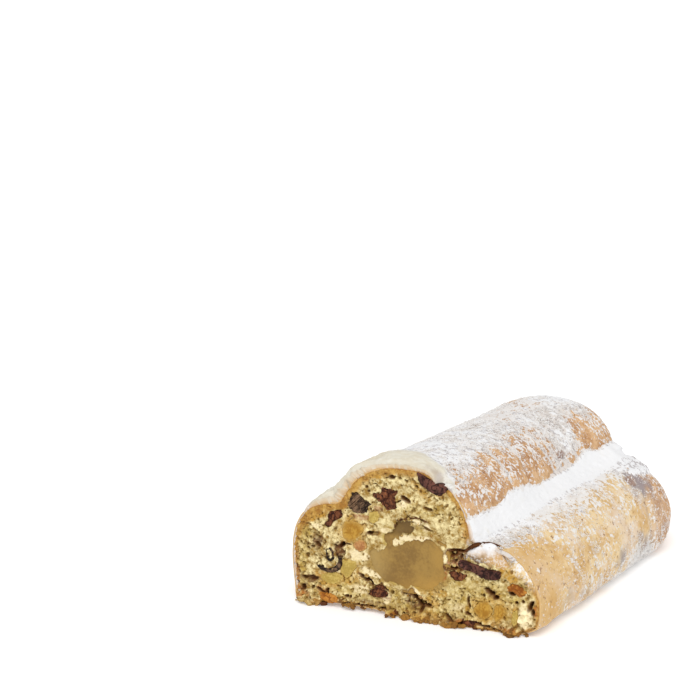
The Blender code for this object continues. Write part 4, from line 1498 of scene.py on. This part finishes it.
def sugarThickness(spots, normals, back, turn, cover):
    # thickness of the sugar, below nothing where it lies bare, and how far it stands out over the cut
    fine = roughNoise(spots, 1.3 * mm, 3, 60.0)
    broad = roughNoise(spots, 6 * mm, 2, 61.0)
    snow = ease(cover, 0.85, 1.0)
    thick = (0.85 * (cover - 0.64) + 0.10 * broad + (0.19 - 0.10 * snow) * fine + 0.30 * snow) * mm
    thick = np.where(thick < 0.03 * mm, 3 * thick - 0.06 * mm, thick)
    farLip = ease(back / mm, 96, 112) * (1 - ease(abs(turn - 36), 8, 18))
    thick = thick + farLip * (1.4 + 0.7 * broad) * mm
    valley = np.exp(-(((turn - sugar["valleyTurn"]) / 5) ** 2))
    thick = thick + (0.9 + 0.3 * broad) * mm * valley
    edge = edgeThickness(back, turn)
    share = ease(edge, 0, 0.8 * mm)
    wavy = edge * (1 + 0.20 * broad + 0.08 * fine) + 0.06 * mm * fine
    thick = thick * (1 - share) + share * np.maximum(wavy, 0.02 * mm)
    nearCut = 1 - ease(back, 0, 2.5 * mm)
    thick = thick - (1 - share) * nearCut * 0.35 * mm
    thick = thick * (1 - (0.45 + 0.25 * fine) * nearCut * share)
    borders = ease(np.minimum(turn - turn.min(), turn.max() - turn), 0, 3)
    borders = borders * (1 - ease(back, back.max() - 3 * mm, back.max()))
    thick = np.where(thick > -0.5 * mm, thick * borders - 0.5 * mm * (1 - borders), thick)
    thick = np.maximum(thick, -0.6 * mm)
    forward = share * nearCut * (0.3 + 0.25 * broad) * mm
    room = (sugar["ceiling"] - spots[..., 2]) / np.maximum(normals[..., 2], 0.2)
    return np.minimum(thick, np.maximum(room, 0)), forward


def sugarFields(spots, back, turn, thick, cover):
    edge = edgeThickness(back, turn) + 0.5 * mm * roughNoise(spots, 4 * mm, 3, 64.0)
    moist = ease(edge, 0.1 * mm, 1.2 * mm) * (1 - 0.7 * ease(back / mm, 7, 22))
    low, high = fruitBoxes["raisin_3"]
    gap = np.linalg.norm((spots - np.array((low + high) / 2)) / np.array([1.1, 0.6, 0.9]), axis=-1)
    dusky = 0.5 * (1 - ease(gap + 1.2 * mm * roughNoise(spots, 2 * mm, 3, 63.0), 2.4 * mm, 5.0 * mm))
    # where grey specks of painted shade between the sugar grains go
    grit = (1 - ease(cover, 0.84, 0.98)) * (1 - moist)
    thin = (1 - ease(thick, 0.02 * mm, 0.12 * mm)) * (1 - 0.6 * moist)
    return {"moist": moist, "dusky": dusky, "grit": grit, "thin": thin}


def fillValley(outer, spots, normals, back, ways):
    # snow-like powder that fills the groove between hump and lip
    filled = np.stack([blurRows(blurAround(outer[..., i], 7), 1.5) for i in range(3)], -1)
    snow = np.exp(-(((ways - sugar["valleyTurn"]) / 8) ** 4))
    snow = snow * within(back, 2 * mm, 6 * mm, 112 * mm, 120 * mm)
    powder = 0.16 * mm * roughNoise(spots, 1.6 * mm, 3, 65.0)
    return outer + (filled + normals * powder[..., None] - outer) * snow[..., None]


def makeSugarSheet(name, turnFrom, turnTo):
    # a closed layer on the skin; where its thickness is below nothing it dips under the crust
    turns = np.linspace(turnFrom, turnTo, int((turnTo - turnFrom) * arcLength / sugar["grid"]))
    backs = np.linspace(0, sugar["reach"], int(sugar["reach"] / sugar["grid"])) * mm
    rows = np.broadcast_to(rowAt(backs)[:, None], (len(backs), len(turns)))
    ways = np.broadcast_to(turns[None], rows.shape)
    spots, normals = skinAt(rows, ways)
    back = spots[..., 1] - cutY
    cover = sugarAt(spots, normals, back, ways)
    thick, forward = sugarThickness(spots, normals, back, ways, cover)
    outer = spots + normals * thick[..., None]
    outer[..., 1] -= forward
    outer = fillValley(outer, spots, normals, back, ways)
    inner = spots - normals * sugar["under"]
    inner[..., 1] += 0.4 * mm
    for layer in (outer, inner):
        layer[..., 2] = np.maximum(layer[..., 2], 0)
    loops = np.concatenate([outer, inner[:, ::-1]], axis=1)
    first = np.concatenate([inner[:1], inner[:1, ::-1]], axis=1)
    last = np.concatenate([inner[-1:], inner[-1:, ::-1]], axis=1)
    layered = {}
    for key, field in sugarFields(spots, back, ways, thick, cover).items():
        both = np.concatenate([field, field[:, ::-1]], axis=1)
        layered[key] = np.concatenate([both[:1], both, both[-1:]])
    layered["soaked"] = np.zeros(layered["moist"].shape)
    layered["soaked"][0] = 1
    layered["soaked"][1] = 0.25
    return closedWrap(name, np.concatenate([first, loops, last]), layered)


def sugarMaterial():
    material, tree, shader = newMaterial("powderedSugar", 0.85, Specular_IOR_Level=0.2)
    moist = mottled(tree, sugar["moist"], sugar["moistShade"], 90.0, 500.0)
    colour = blendColour(tree, attribute(tree, "moist"), sugar["white"], moist)
    colour = blendColour(tree, partOf(tree, "thin", 0.5), colour, sugar["hollow"])
    for name in ("soaked", "dusky"):
        colour = blendColour(tree, attribute(tree, name), colour, sugar[name])
    # grey specks as painted shade between the sugar grains, where the sugar is not fully white
    specks = useGroup(tree, speckleGroup, Cover=0.36, Scale=700.0)
    grainShadeSpecks = math(tree, "MULTIPLY", specks.outputs["Mask"], partOf(tree, "grit", 0.6))
    colour = blendColour(tree, grainShadeSpecks, colour, sugar["grit"])
    finish(tree, shader, colour, noiseNode(tree, 1900.0, 4.0, 0.6), 0.45, 0.18 * mm)
    return material


grains = {
    "count": 24000,
    "tries": 9,  # places looked at for each grain
    "size": 0.21 * mm,
    "corners": ((1, 0, 0), (-1, 0, 0), (0, 1, 0), (0, -1, 0), (0, 0, 1), (0, 0, -1)),
    "sides": ((0, 2, 4), (2, 1, 4), (1, 3, 4), (3, 0, 4), (2, 0, 5), (1, 2, 5), (3, 1, 5), (0, 3, 5)),
    "light": srgb(238, 237, 236),
    "shade": srgb(226, 221, 216),
}


def makeGrains(name, turnFrom, turnTo, number):
    # tiny uneven lumps of sugar, all in one mesh
    rng = np.random.default_rng(number)
    wanted = grains["count"]
    tries = wanted * grains["tries"]
    rows = rng.uniform(0.6, len(skinPoints) - 3, tries)
    turns = rng.uniform(turnFrom, turnTo, tries)
    spots, normals = skinAt(rows, turns)
    ahead, _ = skinAt(rows + 0.5, turns)
    beside, _ = skinAt(rows, turns + 0.5)
    area = np.linalg.norm(np.cross(ahead - spots, beside - spots), axis=1)
    cover = sugarAt(spots, normals, spots[:, 1] - cutY, turns)
    patch = ease(roughNoise(spots, 2.2 * mm, 3, 71.0) + 1.6 * (cover - 0.45), -0.5, 0.5)
    weight = area * patch * ease(cover, 0.03, 0.3) * (1 - 0.6 * ease(cover, 0.8, 1.0))
    weight = weight * (spots[:, 2] > 0.6 * mm)
    weight /= weight.sum()
    if (weight > 0).sum() > wanted:
        chosen = rng.choice(tries, wanted, replace=False, p=weight)
    else:
        chosen = np.where(weight > 0)[0]
    spots, normals = spots[chosen], normals[chosen]
    wanted = len(chosen)
    sizes = grains["size"] * np.exp(0.30 * rng.standard_normal(wanted))
    sizes = sizes * (0.6 + 0.5 * ease(cover[chosen], 0.3, 0.8))
    axes = np.linalg.qr(rng.standard_normal((wanted, 3, 3)))[0]
    uneven = np.array(grains["corners"], float)[None] * rng.uniform(0.6, 1.25, (wanted, 6, 1))
    co = np.einsum("nij,nkj->nki", axes, uneven) * sizes[:, None, None]
    co += (spots + normals * (0.35 * sizes)[:, None])[:, None]
    co[..., 2] = np.maximum(co[..., 2], 0.02 * mm)
    faces = (np.arange(wanted) * 6)[:, None, None] + np.array(grains["sides"])[None]
    flip = np.linalg.det(axes) < 0
    faces[flip] = faces[flip][:, :, ::-1]
    return looseMesh(name, co, faces)


def grainMaterial():
    material, tree, shader = newMaterial("sugarGrains", 0.7, Specular_IOR_Level=0.3)
    colour = mottled(tree, grains["light"], grains["shade"], 200.0, 1500.0)
    tree.links.new(colour, shader.inputs["Base Color"])
    return material


lump = {
    "scattered": 190,
    "tiny": 90,
    "furthestOut": 4.0 * mm,
    "light": srgb(218, 194, 132),
    "amber": srgb(158, 112, 46),
    "brown": srgb(92, 50, 20),
    "tones": (
        (-46, 0.2), (-38, 0.2), (-33, 0.6), (-28, 0.6), (-22, 0.45), (-16, 0.5), (-9, 0.25), (-6, 0.8),
        (-3, 0.25), (2, 0.5), (6, 0.7), (9, 0.25), (13, 0.2), (16, 0.75), (22, 0.8), (27, 0.5), (31, 0.4),
        (36, 0.75), (41, 0.5),
    ),
}

# torn bits that stand out along the base: beside the middle, above the base, how far out, size and tone
placedLumps = (
    (14.4, 0.9, 2.6, 1.5, 0.5), (12.9, 1.2, 2.0, 1.3, 0.35), (16.6, 0.8, 2.0, 1.2, 0.7),
    (18.6, 0.7, 1.2, 1.1, 0.6), (-8.6, 0.9, 1.6, 1.2, 0.85), (-7.0, 0.8, 1.8, 1.1, 0.55),
    (36.9, 0.9, 1.8, 1.5, 0.8), (39.3, 0.9, 1.4, 1.2, 0.7), (34.8, 0.8, 1.4, 1.1, 0.6),
    (-22.5, 1.4, 0.8, 1.1, 0.75), (-24.5, 1.6, 0.6, 0.9, 0.6), (-39.0, 1.3, 1.2, 1.4, 0.2),
    (-43.2, 1.3, 0.6, 1.2, 0.25), (-36.5, 1.1, 1.0, 1.2, 0.35), (-41.2, 2.0, 0.9, 1.3, 0.15),
    (2.6, 0.8, 1.4, 1.3, 0.55), (6.0, 0.8, 1.2, 1.1, 0.6), (-2.0, 0.7, 1.4, 1.1, 0.5),
    (9.5, 0.8, 1.6, 1.2, 0.4),
)
# where tiny bits cling to the cut: place, and how widely they scatter
clinging = (
    (-1, 30.2, 11, 1.2), (-1, 35.0, 9, 1.6), (15, 23.5, 3.5, 5), (-30, 15.5, 1.2, 1.2), (-17, 10.5, 4, 3),
    (2.5, 6.5, 5, 2),
)


def makeLumps(name, spots, sizes, tones, number):
    # torn bits of crumb, each a small uneven ball
    rng = np.random.default_rng(number)
    deselectAll()
    bpy.ops.mesh.primitive_ico_sphere_add(subdivisions=3, radius=1)
    ball = bpy.context.object
    way = cornersOf(ball.data).astype(float)
    corners = np.array([tuple(p.vertices) for p in ball.data.polygons])
    bpy.ops.object.delete()
    count = len(spots)
    axes = np.linalg.qr(rng.standard_normal((count, 3, 3)))[0]
    axes[np.linalg.det(axes) < 0, 0] *= -1
    stretch = rng.uniform(0.5, 1.3, (count, 1, 3))
    rough = roughNoise(way[None] + rng.uniform(0, 60, (count, 1, 3)), 0.75, 3, 81.0)
    shape = way[None] * stretch * (1 + 0.62 * rough)[..., None]
    places = np.einsum("nij,nkj->nki", axes, shape) * np.array(sizes)[:, None, None]
    places = places + np.array(spots)[:, None]
    places[..., 2] = np.maximum(places[..., 2], 0.02 * mm)
    places[..., 1] = np.maximum(places[..., 1], cutY - lump["furthestOut"])
    faces = (np.arange(count) * len(way))[:, None, None] + corners[None]
    piece = looseMesh(name, places, faces)
    storeFields(piece.data, {"tone": np.repeat(tones, len(way)), "crease": rough})
    deselectAll()
    piece.select_set(True)
    bpy.context.view_layer.objects.active = piece
    bpy.ops.object.shade_smooth()
    return piece


def crumbFrontAt(u, z):
    # where the front of the crumb lies at a place on the cut
    hit = crumbTree.ray_cast(Vector((midX + u * mm, cutY - 20 * mm, z * mm)), Vector((0, 1, 0)))[0]
    return hit.y if hit is not None else cutY + 0.5 * mm


def makeTornCrumbs():
    rng = np.random.default_rng(9)
    spots, sizes, tones = [], [], []
    for _ in range(lump["scattered"]):
        u = rng.uniform(-45.5, 42)
        z = abs(rng.normal(0.5, 1.1)) + (1.3 if -32 < u < -10 else 0)
        size = 0.45 * np.exp(0.42 * rng.standard_normal())
        front = crumbFrontAt(u, max(z, 0.7))
        spots.append((midX + u * mm, front + rng.uniform(-0.25, 0.35) * mm, max(z, 0.6 * size) * mm))
        sizes.append(min(size, 1.3) * mm)
        tones.append(float(np.clip(np.interp(u, *zip(*lump["tones"])) + 0.25 * rng.standard_normal(), 0, 1)))
    for place, height, out, size, tone in placedLumps:
        spots.append((midX + place * mm, cutY - out * mm, height * mm))
        sizes.append(size * mm)
        tones.append(tone)
    for _ in range(lump["tiny"]):
        u, z, wide, tall = rng.choice(clinging)
        u, z = u + rng.normal(0, 0.5) * wide, z + rng.normal(0, 0.5) * tall
        size = 0.34 * np.exp(0.35 * rng.standard_normal())
        spots.append((midX + u * mm, crumbFrontAt(u, z) - 0.1 * size * mm, z * mm))
        sizes.append(size * mm)
        tones.append(float(np.clip(rng.normal(0.15, 0.2), 0, 1)))
    return makeLumps("tornCrumbs", spots, sizes, tones, 12)


def lumpMaterial():
    material, tree, shader = newMaterial("tornCrumb", 0.7, Specular_IOR_Level=0.25)
    body = mottled(tree, lump["light"], crumb["middle"], 400.0, 1500.0)
    tone = attribute(tree, "tone")
    colour = blendColour(tree, ramp(tree, tone, 0.1, 0.5), body, lump["amber"])
    colour = blendColour(tree, ramp(tree, tone, 0.5, 1.0), colour, lump["brown"])
    # painted shade in the dents of each torn bit
    colour = blendColour(tree, ramp(tree, attribute(tree, "crease"), 0.0, -0.7), colour, crumb["dark"])
    finish(tree, shader, colour, noiseNode(tree, 2400.0, 3.0, 0.6), 0.5, 0.12 * mm)
    return material


flap = {
    "outline": (
        (18.9, 23.8), (21.1, 23.4), (23.3, 22.7), (25.6, 22.3), (27.8, 21.9), (30.0, 21.5), (32.2, 21.8),
        (34.0, 21.7), (35.1, 23.2), (34.0, 25.1), (32.5, 27.0), (31.1, 28.8), (29.6, 30.3), (27.8, 30.8),
        (24.8, 30.0), (21.9, 29.1), (20.8, 28.1), (19.3, 26.2), (17.8, 24.7),
    ),
    "crack": (
        (18.8, 0.6, 26.6), (21.2, -0.6, 28.7), (23.2, -0.4, 29.9), (24.6, 1.2, 30.1), (26.0, 2.2, 30.4),
        (27.8, 2.6, 30.2), (29.6, 2.6, 29.8), (31.8, 3.2, 29.2),
    ),
    "out": 1.4 * mm,
    "dusk": srgb(136, 112, 84),
    "tan": srgb(204, 166, 116),
}


def makeFlap():
    # a torn tongue of crust on the lip, with sugar on top
    middle, ways, radii = shapeOf(flap["outline"])
    rows = [(size, -flap["out"] * (1 - size**2.2) ** 0.7) for size in np.linspace(0, 0.999, 40)]
    rows += [(0.96, 1.2 * mm), (0.7, 2.4 * mm), (0, 3.0 * mm)]
    points = np.zeros((len(rows), len(ways), 3))
    for i, (size, y) in enumerate(rows):
        points[i, :, 0] = middle[0] + size * radii * np.cos(ways)
        points[i, :, 2] = middle[1] + size * radii * np.sin(ways)
        points[i, :, 1] = cutY + 0.9 * mm + y
    rough = roughNoise(points, 2.4 * mm, 3, 91.0)
    u, z = (points[..., 0] - midX) / mm, points[..., 2] / mm
    rise = z - 25.2 + 0.9 * rough - 0.35 * np.maximum(u - 28.5, 0)
    top = ease(rise, 0, 4.2)
    lift = 0.55 * rough + 0.3 * top
    points[..., 1] -= mm * lift * (np.arange(len(rows)) < 38)[:, None]
    points[0] = points[0].mean(0)
    # painted shade on the lower left and the lower edge of the tongue
    left = 1 - ease(u, 23, 30)
    dusk = np.clip(left * (1 - ease(rise, 0, 2.5)) + 0.6 * (1 - ease(z + 0.3 * (u - 26), 22.6, 24.8)), 0, 1)
    return closedWrap("lipFlap", points, {"top": top, "dusk": dusk})


def makeLipCrack():
    # the dark line where the tongue tore away from the lip: a thin tube painted dark as the shade in the
    # crack
    spots = [(midX + u * mm, cutY + back * mm, z * mm) for u, back, z in flap["crack"]]
    return sweep("lipCrack", spots, np.array([0.2, 0.6, 0.8, 0.7, 0.4, 0.55, 0.35, 0.12]) * mm)


def crackMaterial():
    material, tree, shader = newMaterial("scorchedCrack", 0.85, Specular_IOR_Level=0.2)
    # painted shade colour of the crack
    colour = mottled(tree, crumb["torn"], crumb["pit"], 500.0, 1500.0)
    tree.links.new(colour, shader.inputs["Base Color"])
    return material


def flapMaterial():
    material, tree, shader = newMaterial("tornCrustTongue", 0.75, Specular_IOR_Level=0.25)
    body = mottled(tree, flap["tan"], crust["gold"], 200.0, 900.0)
    # painted shade on the lower part of the tongue
    colour = blendColour(tree, attribute(tree, "dusk"), body, flap["dusk"])
    specks = useGroup(tree, speckleGroup, Cover=0.40, Scale=1250.0)
    colour = blendColour(tree, math(tree, "MULTIPLY", specks.outputs["Mask"], 0.5), colour, crust["powder"])
    colour = blendColour(tree, attribute(tree, "top"), colour, sugar["white"])
    finish(tree, shader, colour, noiseNode(tree, 1900.0, 4.0, 0.6), 0.45, 0.18 * mm)
    return material


view = {
    "place": (257.0 * mm, -668.2 * mm, 228.3 * mm),
    "turn": 25.556,
    "dip": 11.538,
    "lens": 102.04,
    "sensor": 36,
    "near": 0.01,
    "far": 20,
}


def makeCamera():
    data = bpy.data.cameras.new("camera")
    camera = bpy.data.objects.new("camera", data)
    bpy.context.collection.objects.link(camera)
    camera.location = view["place"]
    camera.rotation_euler = (radians(90 - view["dip"]), 0, radians(view["turn"]))
    data.lens, data.sensor_width = view["lens"], view["sensor"]
    data.clip_start, data.clip_end = view["near"], view["far"]
    bpy.context.scene.camera = camera


studio = {
    "ambient": 0.66,
    "keyFrom": (0.25, -0.55, 0.80),
    "keyPower": 1.5,
    "keySpread": 50,
    "floor": (0.92, 0.92, 0.92, 1),
    "floorSize": 60,
    "floorDrop": 0.02 * mm,
    "glow": 0.22,
    "white": (1, 1, 1, 1),
}


def makeStudio():
    deselectAll()
    bpy.ops.mesh.primitive_plane_add(size=studio["floorSize"], location=(0, 0, -studio["floorDrop"]))
    floor = bpy.context.object
    floor.name = "floor"
    glow = {"Emission_Color": studio["white"], "Emission_Strength": studio["glow"]}
    material = newMaterial("paleFloor", 0.9, Base_Color=studio["floor"], Specular_IOR_Level=0, **glow)[0]
    floor.data.materials.append(material)
    world = bpy.data.worlds.new("studio")
    bpy.context.scene.world = world
    world.use_nodes = True
    background = world.node_tree.nodes["Background"]
    background.inputs["Color"].default_value = studio["white"]
    background.inputs["Strength"].default_value = studio["ambient"]
    data = bpy.data.lights.new("key", "SUN")
    data.energy, data.angle = studio["keyPower"], radians(studio["keySpread"])
    key = bpy.data.objects.new("key", data)
    bpy.context.collection.objects.link(key)
    key.rotation_euler = Vector(studio["keyFrom"]).to_track_quat("Z", "Y").to_euler()
    bpy.context.scene.view_settings.view_transform = "Standard"


makeCamera()
makeStudio()

crumbTree = BVHTree.FromObject(crumbPiece, bpy.context.evaluated_depsgraph_get())

place(crustPiece, crustMaterial(), "dough", "loaf")
place(crumbPiece, crumbMaterial(), "dough")
place(makeTornCrumbs(), lumpMaterial(), "dough")
place(makeFlap(), flapMaterial(), "dough")
place(makeLipCrack(), crackMaterial(), "dough")
place(marzipanPiece, marzipanMaterial(), "marzipan", "marzipan")

finishes = {}
for name in fruit:
    shine, paleEdge = (0.12, 0.45) if "Peel" in name else (0.0, 0.0)
    finishes[name] = fruitMaterial(name, shine, name == "crustRaisin", paleEdge)
for number, node in enumerate(fruitNames):
    slot = "raisin" if "raisin" in node else "candied_peel"
    if node.startswith("crust"):
        look = "crustRaisin" if slot == "raisin" else "orangePeel"
        place(makeCrustFruit(node, number), finishes[look], slot, node)
    elif node == "raisin_5":
        place(makeSeamRaisin(), finishes["blackRaisin"], slot, node)
    else:
        look, fold, back = fruitLooks[node]
        place(makeCutFruit(node, fold, back, number), finishes[look], slot, node)

sugarLook = sugarMaterial()
for name, turnFrom, turnTo in (("sugarRight", 20, 128), ("sugarLeft", 117, 196)):
    place(makeSugarSheet(name, turnFrom, turnTo), sugarLook, "dough")
grainLook = grainMaterial()
grainBands = (("grainsLip", -30, 50, 21), ("grainsHump", 45, 125, 22), ("grainsLeft", 120, 215, 23))
for name, turnFrom, turnTo, number in grainBands:
    place(makeGrains(name, turnFrom, turnTo, number), grainLook, "dough")
